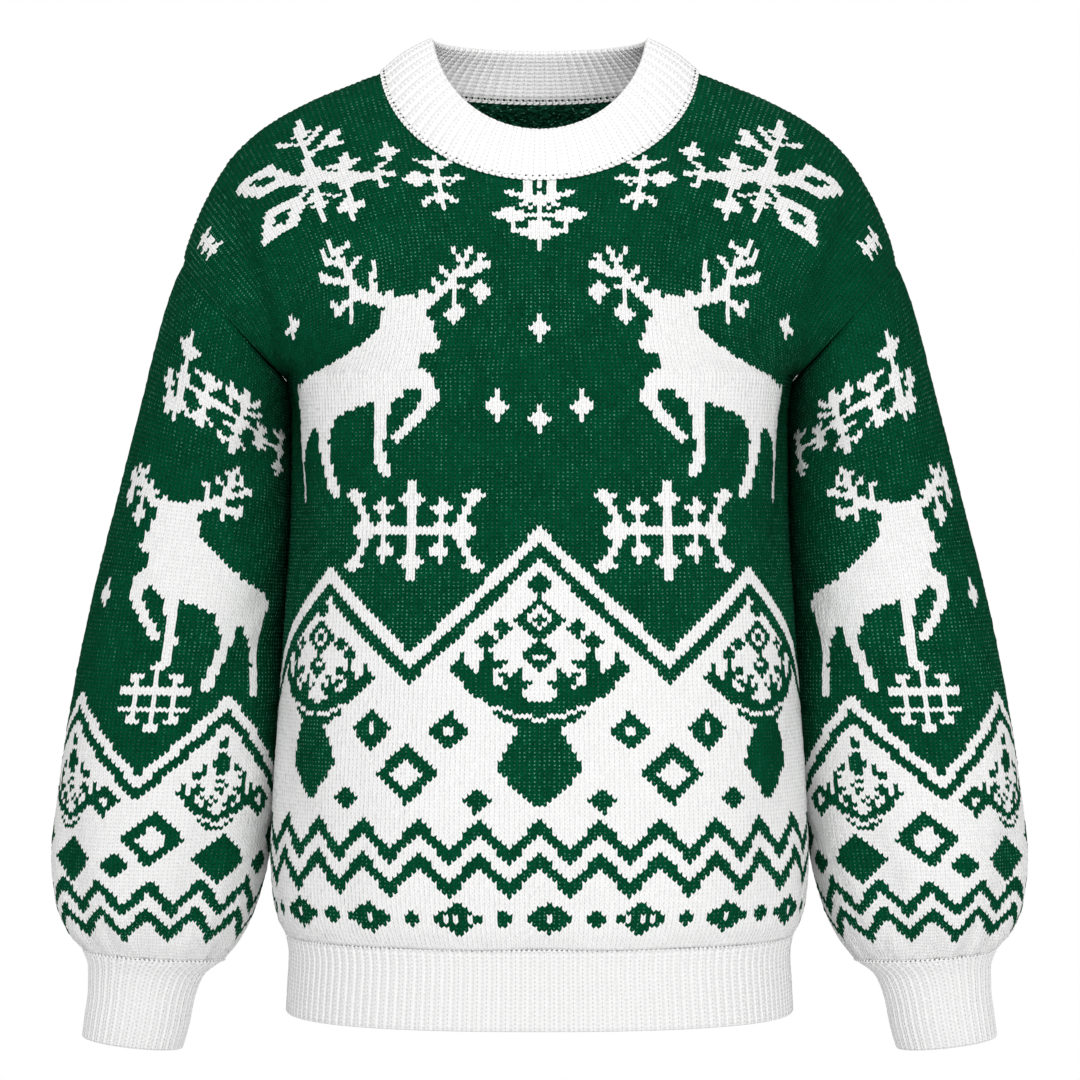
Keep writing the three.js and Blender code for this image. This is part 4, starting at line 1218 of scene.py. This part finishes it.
def sleeve_layers(wales, courses, seed):
    """Half-stitch grids of the right sleeve: its points and its normals."""
    around, down = grid_sizes(wales, courses)
    around, down = around[:-1], down[::-1] * SLEEVE_LENGTH
    section = {name: value[:, None] for name, value in oval_section(SLEEVE, down).items()}
    outline = oval_points(section, np.linspace(0, 2 * np.pi, 3 * OUTLINE_SAMPLES)[None, :])
    points = even_points(outline, around)
    normals = grid_normals(points, closed=True)
    ring = oval_section(SLEEVE, 0.0)
    x = 2 * np.pi * around[None, :] * SLEEVE_RADIUS
    away = down[:, None]
    fade = smooth_step(away / EDGE_FADE) * smooth_step((SLEEVE_LENGTH - away) / EDGE_FADE)
    height = fold_height(round_sleeve(SOLID_SLEEVE_FOLDS), x, away) * fade
    height += fold_height(round_sleeve(SLEEVE_CREASES), x, away) * smooth_step(away / ARMHOLE_FADE)
    random = np.random.default_rng(seed)
    phase = np.cumsum(random.uniform(0.6, 1.4, len(around)))
    wave = np.cos(2 * np.pi * GATHERS * phase / phase[-1])[None, :]
    pull = smooth_step(1 - (SLEEVE_LENGTH - away) / GATHER_LENGTH)
    near_cuff = smooth_step((away - SLEEVE_LENGTH + CUFF_EASE) / CUFF_EASE)
    height += GATHER_DEPTH * (wave - 1) / 2 * pull * (1 - 0.5 * near_cuff)
    height -= SEAM_DIP * np.exp(-((away / SEAM_REACH) ** 2))
    slope = np.array([ring["out_x"] - ring["in_x"], 0, ring["out_z"] - ring["in_z"]])
    clear = np.cross(unit(slope), (0, 1, 0)) * SEAM_GAP
    clear *= np.sign(-clear[2])
    clear = clear * (1 - smooth_step(away / EDGE_FADE))[..., None]
    return points + normals * height[..., None] + clear, normals


def knit_sleeve(name, hand, yarn, seed):
    courses, wales = yarn.shape
    points, normals = sleeve_layers(wales, courses, seed)
    from_middle = points - points.mean(1, keepdims=True)
    normals = normals * np.sign(np.einsum("ijk,ijk->", normals, from_middle))
    outer, out_normals = pick_stitches(points), pick_stitches(normals)
    rise, slip = stitch_relief(outer.shape[:2], seed)
    outer = outer + out_normals * rise[..., None] + slip
    rows, columns = outer.shape[:2]
    quads = grid_quads(rows, columns, closed=True)
    columns_in = np.arange(0, points.shape[1], 2 * INSIDE_STEP)
    inner = (points - normals * WALL)[np.ix_(inner_places(points.shape[0]), columns_in)]
    quads_in = grid_quads(*inner.shape[:2], closed=True)
    u, v = (places.ravel() for places in np.meshgrid(np.arange(columns), np.arange(rows - 1)))
    corners = ((0, 0), (1, 0), (1, 1), (0, 1))
    stitch = np.stack([np.stack([u + right, v + up], -1) for right, up in corners], 1) * (0.5, 1)
    colour = np.repeat(yarn, 2, axis=1).ravel()
    mirror = np.array([hand, 1, 1])
    if hand > 0:
        quads, quads_in, stitch = quads[:, ::-1], quads_in[:, ::-1], stitch[:, ::-1]
    outer, inner, stitch = outer * mirror, inner * mirror, stitch.reshape(-1, 2)
    return closed_shell(name, outer, quads, inner, quads_in, (JERSEY, JERSEY_INSIDE), colour, stitch)


sleeve_left = knit_sleeve("knitted_sleeve_left", 1, sleeve_yarn, SEED + 3)
sleeve_right = knit_sleeve("knitted_sleeve_right", -1, sleeve_yarn, SEED + 4)
print("sleeves", len(sleeve_left.data.polygons), "faces each")

# %% [markdown]
# Rib is two knit columns that stand up and one purl column that sinks between them. One profile of
# six points makes it, repeated along each band, with the same V stitches. The band goes over its
# free edge and down inside, so that the edge is round and as thick as the real fold.
# %% Rib bands
RIB_STOPS = (0.0, 0.13, 0.315, 0.5, 0.685, 0.87)
RIB_HEIGHTS = (-0.15, 0.62, 1.15, 0.78, 1.15, 0.62)
RIB_JITTER = 0.05
INSIDE_RISE = -0.9  # the ribs on the inside of a band stand up towards the wearer
EDGE_ROUND = 0.8  # how round the free edge is, where 1 is a half circle


def rib_columns(ribs, closed):
    """Places along the band as shares, their heights, and which of them are the middle of a V."""
    stops = (np.arange(ribs)[:, None] + np.array(RIB_STOPS)[None, :]).ravel() / ribs
    heights = np.tile(RIB_HEIGHTS, ribs)
    middle = np.tile([0, 0, 1, 0, 1, 0], ribs).astype(bool)
    if not closed:
        stops, heights = np.append(stops, 1.0), np.append(heights, RIB_HEIGHTS[0])
        middle = np.append(middle, False)
    return stops, heights, middle


def band_rows(courses, length):
    """Rows from the seam over the free edge and back up inside.

    Each is its share of the length, how far inside it is, the rise of its ribs and its course."""
    rows = [(share, 0.0, 1.0, k) for k, share in enumerate(np.linspace(0, 1, courses + 1))]
    edge_radius = (RIB_WALL + RIB_RISE) / 2 * EDGE_ROUND
    for k, turn in enumerate((0.25, 0.5, 0.75)):
        angle = math.pi * turn
        share = 1 + math.sin(angle) * edge_radius / length
        rows.append((share, (1 - math.cos(angle)) / 2, math.cos(angle), courses + (k + 1) * 0.6))
    inside = courses // 2
    for k, share in enumerate(np.linspace(1, 0, inside + 1)):
        rows.append((share, 1.0, INSIDE_RISE, courses + 2.4 + k * courses / inside))
    return rows


def knit_band(name, surface, seed, ribs, courses, length, closed=True, turned=False):
    """A rib band over the plain one that surface(share along, distance from the seam) gives.

    turned flips its faces, where the surface runs round the other way."""
    stops, heights, middle = rib_columns(ribs, closed)
    rows = band_rows(courses, length)
    random = np.random.default_rng(seed)
    grid = []
    for share, depth, rise, _ in rows:
        drop = 0.5 / courses if 0 < share < 1 and depth == 0 else 0.0
        at = np.where(middle, share + drop, share)
        points, normals = surface(stops, at * length)
        lift = -depth * RIB_WALL + heights * rise + random.normal(0, RIB_JITTER, len(stops))
        grid.append(points + normals * lift[:, None])
    grid = np.array(grid)
    count_rows, count_columns = grid.shape[:2]
    wide = count_columns if closed else count_columns - 1
    bottom = np.arange(count_columns)
    top = bottom + (count_rows - 1) * count_columns
    after = np.roll(bottom, -1)
    seam = np.stack([top, top[after], bottom[after], bottom], -1)[:wide]
    faces = np.concatenate([grid_quads(count_rows, count_columns, closed=closed), seam])
    wale_steps = np.interp(stops * ribs % 1, [0, 0.13, 0.5, 0.87, 1], [0, 0.5, 1.5, 2.5, 3])
    wales = np.append(np.floor(stops * ribs) * RIB_REPEAT + wale_steps, ribs * RIB_REPEAT)
    left, right = wales[:wide], wales[1:wide + 1]
    course = [row[3] for row in rows]
    stitch = []
    for low, high in zip(course, course[1:] + [course[-1] + 1]):
        corners = ((left, low), (right, low), (right, high), (left, high))
        stitch.append(np.stack([np.stack([u, np.full(wide, float(v))], -1) for u, v in corners], 1))
    stitch = np.concatenate(stitch) + (0.5, 0)
    if turned:
        faces, stitch = faces[:, ::-1], stitch[:, ::-1]
    piece = make_mesh(name, grid.reshape(-1, 3), [faces], (RIB,), None, stitch.reshape(-1, 2))
    if not closed:
        close_ends(piece)
    return piece


def close_ends(piece):
    """Fills the two open ends of a band that doesn't go all the way round."""
    work = bmesh.new()
    work.from_mesh(piece.data)
    rim = [edge for edge in work.edges if edge.is_boundary]
    bmesh.ops.holes_fill(work, edges=rim, sides=0)
    work.to_mesh(piece.data)
    work.free()


def collar_surface(share, distance):
    """The surface of the neckband, a little crowned between its two edges."""
    angle = 2 * np.pi * share
    up, square = band_frame(angle)
    low = neck_edge(NECK, angle) + up * COLLAR_GAP
    high = neck_edge(NECK_TOP, angle)
    t = (distance / COLLAR_LENGTH)[:, None]
    crown = COLLAR_CROWN * np.sin(np.pi * np.clip(t, 0, 1))
    return low + (high - low) * t + square * crown, square


def hem_surface(side):
    """The surface of one half of the hem band, which carries on the rows of its panel."""
    name = "front" if side == FRONT else "back"

    def surface(share, distance):
        z = HEM_SEAM_Z - SEAM_GAP - distance
        rows = {
            "mid_y": side * read_table(HEM, "z", name, z),
            "mid_z": z,
            "edge": np.stack([read_table(HEM, "z", "half_width", z), np.zeros_like(z), z], -1),
            "turn": np.full(len(z), np.pi / 2),
        }
        across = share * 2 - 1
        hand = np.sign(across)
        outlines = row_outline(rows, np.linspace(0, 1, OUTLINE_SAMPLES))
        points = np.empty((len(share), 3))
        tangent = np.empty((len(share), 3))
        for i, (line, far) in enumerate(zip(outlines, line_lengths(outlines))):
            at = abs(across[i]) * far[-1]
            for axis in range(3):
                points[i, axis] = np.interp(at, far, line[:, axis])
            k = min(max(np.searchsorted(far, at), 1), len(far) - 1)
            tangent[i] = line[k] - line[k - 1]
        points[:, 0] *= hand
        outwards = [np.abs(tangent[:, 1]) * hand, np.abs(tangent[:, 0]) * side, np.zeros(len(share))]
        square = unit(np.stack(outwards, -1))
        square[[0, -1]] = [(-1, 0, 0), (1, 0, 0)]
        points = points + square * (-RIB_RISE)
        points[:, 1] += side * SEAM_GAP / 2
        return points, square

    return surface


def cuff_surface(hand):
    """The surface of a cuff, whose slanted ovals carry on those of the sleeve."""
    def surface(share, distance):
        section = oval_section(CUFF, distance)
        angle = 2 * np.pi * share
        points = oval_points(section, angle, -RIB_RISE)
        further = oval_points(section, angle, -RIB_RISE + 1.0)
        lower = SEAM_GAP + np.maximum(distance - CUFF_LENGTH, 0)
        points[:, 2] -= lower
        further[:, 2] -= lower
        mirror = np.array([hand, 1, 1])
        return points * mirror, unit(further - points) * mirror

    return surface


FRONT_MIDDLE = np.array(0.0)
COLLAR_LENGTH = float(np.linalg.norm(neck_edge(NECK_TOP, FRONT_MIDDLE) - neck_edge(NECK, FRONT_MIDDLE)))
COLLAR_BAND = {"ribs": 80, "courses": 13, "length": COLLAR_LENGTH}
HEM_BAND = {"ribs": 76, "courses": 19, "length": 51.7, "closed": False}
CUFF_BAND = {"ribs": 40, "courses": 22, "length": CUFF_LENGTH}
collar = knit_band("knitted_collar", collar_surface, SEED + 5, **COLLAR_BAND)
hem_front = knit_band("knitted_hem_front", hem_surface(FRONT), SEED + 6, turned=True, **HEM_BAND)
hem_back = knit_band("knitted_hem_back", hem_surface(BACK), SEED + 7, **HEM_BAND)
cuff_left = knit_band("knitted_cuff_left", cuff_surface(1), SEED + 8, **CUFF_BAND)
cuff_right = knit_band("knitted_cuff_right", cuff_surface(-1), SEED + 9, turned=True, **CUFF_BAND)
print("bands", [len(band.data.polygons) for band in (collar, hem_front, hem_back, cuff_left, cuff_right)])

# %% [markdown]
# Linking. The neckband, the hem and the cuffs are linked on with a row of chain stitches. Round the
# neck it shows on both sides of the cloth, and the green yarn peeps out above it. Geometry Nodes set
# one stitch after another along the seam: it is the same small pair of legs each time, so the tree
# holds it once and only turns it to follow the seam and the cloth.
# %% Linking stitches
def chain_group():
    """Pairs of legs along a seam, turned to follow it and to stand up from the cloth."""
    inputs = {
        "Seam": "Geometry", "Stitches": "Int", "Length": "Float", "Thickness": "Float",
        "Spread": "Float", "Yarn": "Material",
    }
    group, n, source = new_group("chain_stitches", "GeometryNodeTree", inputs, {"Chain": "Geometry"})
    curve = n.add("GeometryNodeMeshToCurve", {"Mesh": source["Seam"]}).outputs["Curve"]
    even = n.add("GeometryNodeResampleCurve", {"Curve": curve, "Count": source["Stitches"]})
    thick = source["Thickness"]
    size = n.add("ShaderNodeCombineXYZ", {0: source["Length"], 1: thick, 2: thick}).outputs[0]
    ball = n.add("GeometryNodeMeshUVSphere", {"Segments": 7, "Rings": 6, "Radius": 0.5}).outputs["Mesh"]
    leg = n.add("GeometryNodeTransform", {"Geometry": ball, "Scale": size}).outputs["Geometry"]
    legs = n.add("GeometryNodeJoinGeometry")
    for hand in (-1, 1):
        shift = n.add("ShaderNodeCombineXYZ", {1: n.math("MULTIPLY", thick, 0.42 * hand)}).outputs[0]
        turn = n.add("ShaderNodeCombineXYZ", {2: n.math("MULTIPLY", source["Spread"], hand)}).outputs[0]
        placed = n.add("GeometryNodeTransform", {"Geometry": leg, "Translation": shift, "Rotation": turn})
        n.put(legs.inputs["Geometry"], placed.outputs["Geometry"])
    square = n.add("GeometryNodeInputNamedAttribute", {"Name": "square"}, data_type="FLOAT_VECTOR")
    upright = {"Vector": square.outputs["Attribute"]}
    stand = n.add("FunctionNodeAlignRotationToVector", upright, axis="Z").outputs["Rotation"]
    tangent = n.add("GeometryNodeInputTangent").outputs["Tangent"]
    onward = {"Rotation": stand, "Vector": tangent}
    follow = n.add("FunctionNodeAlignRotationToVector", onward, axis="X", pivot_axis="Z")
    stitches = n.add("GeometryNodeInstanceOnPoints", {
        "Points": even.outputs["Curve"], "Instance": legs.outputs["Geometry"],
        "Rotation": follow.outputs["Rotation"],
    })
    real = n.add("GeometryNodeRealizeInstances", {"Geometry": stitches.outputs["Instances"]}).outputs[0]
    finish = n.add("GeometryNodeSetMaterial", {"Geometry": real, "Material": source["Yarn"]})
    n.add("NodeGroupOutput", {"Chain": finish.outputs["Geometry"]})
    return group


CHAIN_GROUP = chain_group()


def link_seam(name, points, square, spacing, length, thickness, spread, yarn):
    """A chain of linking stitches along a closed seam. All the sizes are in millimetres."""
    count = len(points)
    mesh = bpy.data.meshes.new(name + "_seam")
    mesh.from_pydata([tuple(p) for p in points * MM], [(i, (i + 1) % count) for i in range(count)], [])
    attribute = mesh.attributes.new("square", "FLOAT_VECTOR", "POINT")
    attribute.data.foreach_set("vector", square.astype(np.float32).ravel())
    piece = bpy.data.objects.new(name, mesh)
    bpy.context.scene.collection.objects.link(piece)
    steps = np.linalg.norm(points - np.roll(points, 1, axis=0), axis=1)
    values = {
        "Stitches": round(steps.sum() / spacing), "Length": length * MM, "Thickness": thickness * MM,
        "Spread": spread, "Yarn": yarn,
    }
    modifier = piece.modifiers.new("chain", "NODES")
    modifier.node_group = CHAIN_GROUP
    for item in CHAIN_GROUP.interface.items_tree:
        if item.name in values:
            modifier[item.identifier] = values[item.name]
    finished = bpy.data.meshes.new_from_object(piece.evaluated_get(bpy.context.evaluated_depsgraph_get()))
    piece.modifiers.remove(modifier)
    piece.data = finished
    finished.name = name
    finished.polygons.foreach_set("use_smooth", np.ones(len(finished.polygons), bool))
    return piece


def outward(points):
    """The level direction away from the middle of a closed seam, square to the seam."""
    along = np.roll(points, -1, axis=0) - np.roll(points, 1, axis=0)
    square = unit(np.cross(along, UP))
    away = points - points.mean(0)
    return square * np.sign(np.einsum("ij,ij->i", square, away).sum())


NECK_CHAIN = {"spacing": 4.6, "length": 4.9, "thickness": 1.5, "spread": 0.16, "yarn": WHITE_LINK}
GREEN_DOTS = {"spacing": 4.6, "length": 1.5, "thickness": 0.9, "spread": 0, "yarn": GREEN_LINK}
INSIDE_DOTS = {**GREEN_DOTS, "length": 1.7, "thickness": 1.0}
HEM_CHAIN = {"spacing": 3.3, "length": 2.9, "thickness": 1.3, "spread": 0.2, "yarn": WHITE_LINK}
SEAM_POINTS = 361
turns = np.linspace(0, 2 * np.pi, SEAM_POINTS)[:-1]
band_up, band_out = band_frame(turns)
neck_line = neck_edge(NECK, turns)
ways = np.linspace(-1, 1, SEAM_POINTS // 2)
seam_level = np.zeros(1)
hem_line = np.concatenate([
    panel_points(FRONT, seam_level, ways)[0], panel_points(BACK, seam_level, ways[::-1])[0],
]) + (0, 0, -SEAM_GAP / 2)
whole_round = np.concatenate([hem_line, hem_line[:1]])
hem_line = even_points(whole_round[None], np.linspace(0, 1, SEAM_POINTS))[0, :-1]
cuff_line = oval_points(oval_section(SLEEVE, SLEEVE_LENGTH), turns) + (0, 0, -SEAM_GAP / 2)
links = [
    link_seam("linking_neck", neck_line + band_up * 0.7 + band_out * 0.75, band_out, **NECK_CHAIN),
    link_seam("linking_neck_green", neck_line + band_up * 2.3 + band_out * 0.95, band_out, **GREEN_DOTS),
    link_seam("linking_neck_inside", neck_line + band_up * 1.0 - band_out * 3.3, -band_out, **NECK_CHAIN),
    link_seam(
        "linking_neck_inside_green", neck_line + band_up * 2.8 - band_out * 3.5, -band_out, **INSIDE_DOTS
    ),
    link_seam("linking_hem", hem_line - outward(hem_line) * 0.5, outward(hem_line), **HEM_CHAIN),
]
for side_name, hand in (("left", 1), ("right", -1)):
    line = cuff_line * (hand, 1, 1)
    away = outward(line)
    links.append(link_seam("linking_cuff_" + side_name, line - away * 0.4, away, **HEM_CHAIN))
print("linking stitches:", [len(link.data.polygons) for link in links])

# %% [markdown]
# Each knitted piece stands for its plain CAD solid, which is hidden, and rides on the one body that
# the sweater has.
# %% Pieces and the frame
pieces = [
    (front, "front", "jersey"), (back, "back", "jersey"),
    (sleeve_left, "sleeve_left", "jersey"), (sleeve_right, "sleeve_right", "jersey"),
    (collar, "collar", "rib"), (hem_front, "hem_rib_front", "rib"), (hem_back, "hem_rib_back", "rib"),
    (cuff_left, "cuff_left", "rib"), (cuff_right, "cuff_right", "rib"),
]
for piece, node, slot in pieces:
    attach(piece, "root")
    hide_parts(node)
for link in links:
    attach(link, "root")

# %% [markdown]
# The photograph shows it on white, taken level from about two and a half metres. A pale floor
# gives the same white together with the light from all round, which the camera sees as paper. Three
# large soft lights give the gentle shading, and a narrow one reaches into the neck.
# %% Camera, floor and light
CAMERA_AWAY = 2.6
CAMERA_X = 0.0003
SENSOR = 36.0
FRAME_WIDTH = 1.08 * 0.69  # what the photograph is wide, at the depth of the origin
CAMERA_Z = -0.323
FLOOR_Z = -0.86
FLOOR_HALF, FLOOR_FRONT, FLOOR_BACK = 2.0, 3.0, 1.0
SKY_LIGHT = 0.64


def add_camera():
    data = bpy.data.cameras.new("photo_camera")
    camera = bpy.data.objects.new("photo_camera", data)
    bpy.context.scene.collection.objects.link(camera)
    camera.location = (CAMERA_X, -CAMERA_AWAY, CAMERA_Z)
    camera.rotation_euler = (math.pi / 2, 0, 0)
    data.sensor_width = SENSOR
    data.lens = SENSOR * CAMERA_AWAY / FRAME_WIDTH
    data.clip_start = 0.05
    bpy.context.scene.camera = camera


def add_floor():
    rows = (-FLOOR_FRONT, FLOOR_BACK)
    points = np.array([(x, y, FLOOR_Z) for y in rows for x in (-FLOOR_HALF, FLOOR_HALF)]) / MM
    material = bpy.data.materials.new("pale_floor")
    material.use_nodes = True
    shader = material.node_tree.nodes["Principled BSDF"]
    shader.inputs["Base Color"].default_value = (0.93, 0.93, 0.93, 1)
    shader.inputs["Roughness"].default_value = 0.9
    floor = make_mesh("pale_floor", points, [grid_quads(2, 2)], (material,))


def add_world():
    """Soft light from all round, which the camera itself sees as plain white paper."""
    world = bpy.data.worlds.new("studio")
    bpy.context.scene.world = world
    world.use_nodes = True
    n = Nodes(world.node_tree)
    rays = n.add("ShaderNodeLightPath")
    background = world.node_tree.nodes["Background"]
    strength = n.math("MULTIPLY_ADD", rays.outputs["Is Camera Ray"], 1 - SKY_LIGHT, SKY_LIGHT)
    n.put(background.inputs["Strength"], strength)
    background.inputs["Color"].default_value = (1, 1, 1, 1)


def add_light(name, place, target, size, power, cone=None):
    """A soft round light, or one that is narrowed to a cone of so many degrees."""
    data = bpy.data.lights.new(name, "SPOT" if cone else "AREA")
    data.energy = power
    if cone:
        data.spot_size = math.radians(cone)
        data.spot_blend = 1.0
        data.shadow_soft_size = size / 2
    else:
        data.shape = "DISK"
        data.size = size
    lamp = bpy.data.objects.new(name, data)
    bpy.context.scene.collection.objects.link(lamp)
    lamp.location = place
    lamp.rotation_euler = (Vector(target) - Vector(place)).to_track_quat("-Z", "Y").to_euler()


add_camera()
add_floor()
add_world()
add_light("key", (-1.1, -2.6, 1.4), (0, 0, -0.35), size=1.4, power=18)
add_light("fill", (0.8, -2.8, -0.4), (0, 0, -0.38), size=1.6, power=34)
add_light("top", (0, 0.3, 1.9), (0, 0, -0.3), size=1.6, power=6)
add_light("neck", (0, -2.4, 0.45), (0, 0.06, 0.01), size=0.24, power=150, cone=5.5)
bpy.context.scene.view_settings.view_transform = "Standard"
bpy.context.scene.view_settings.look = "None"
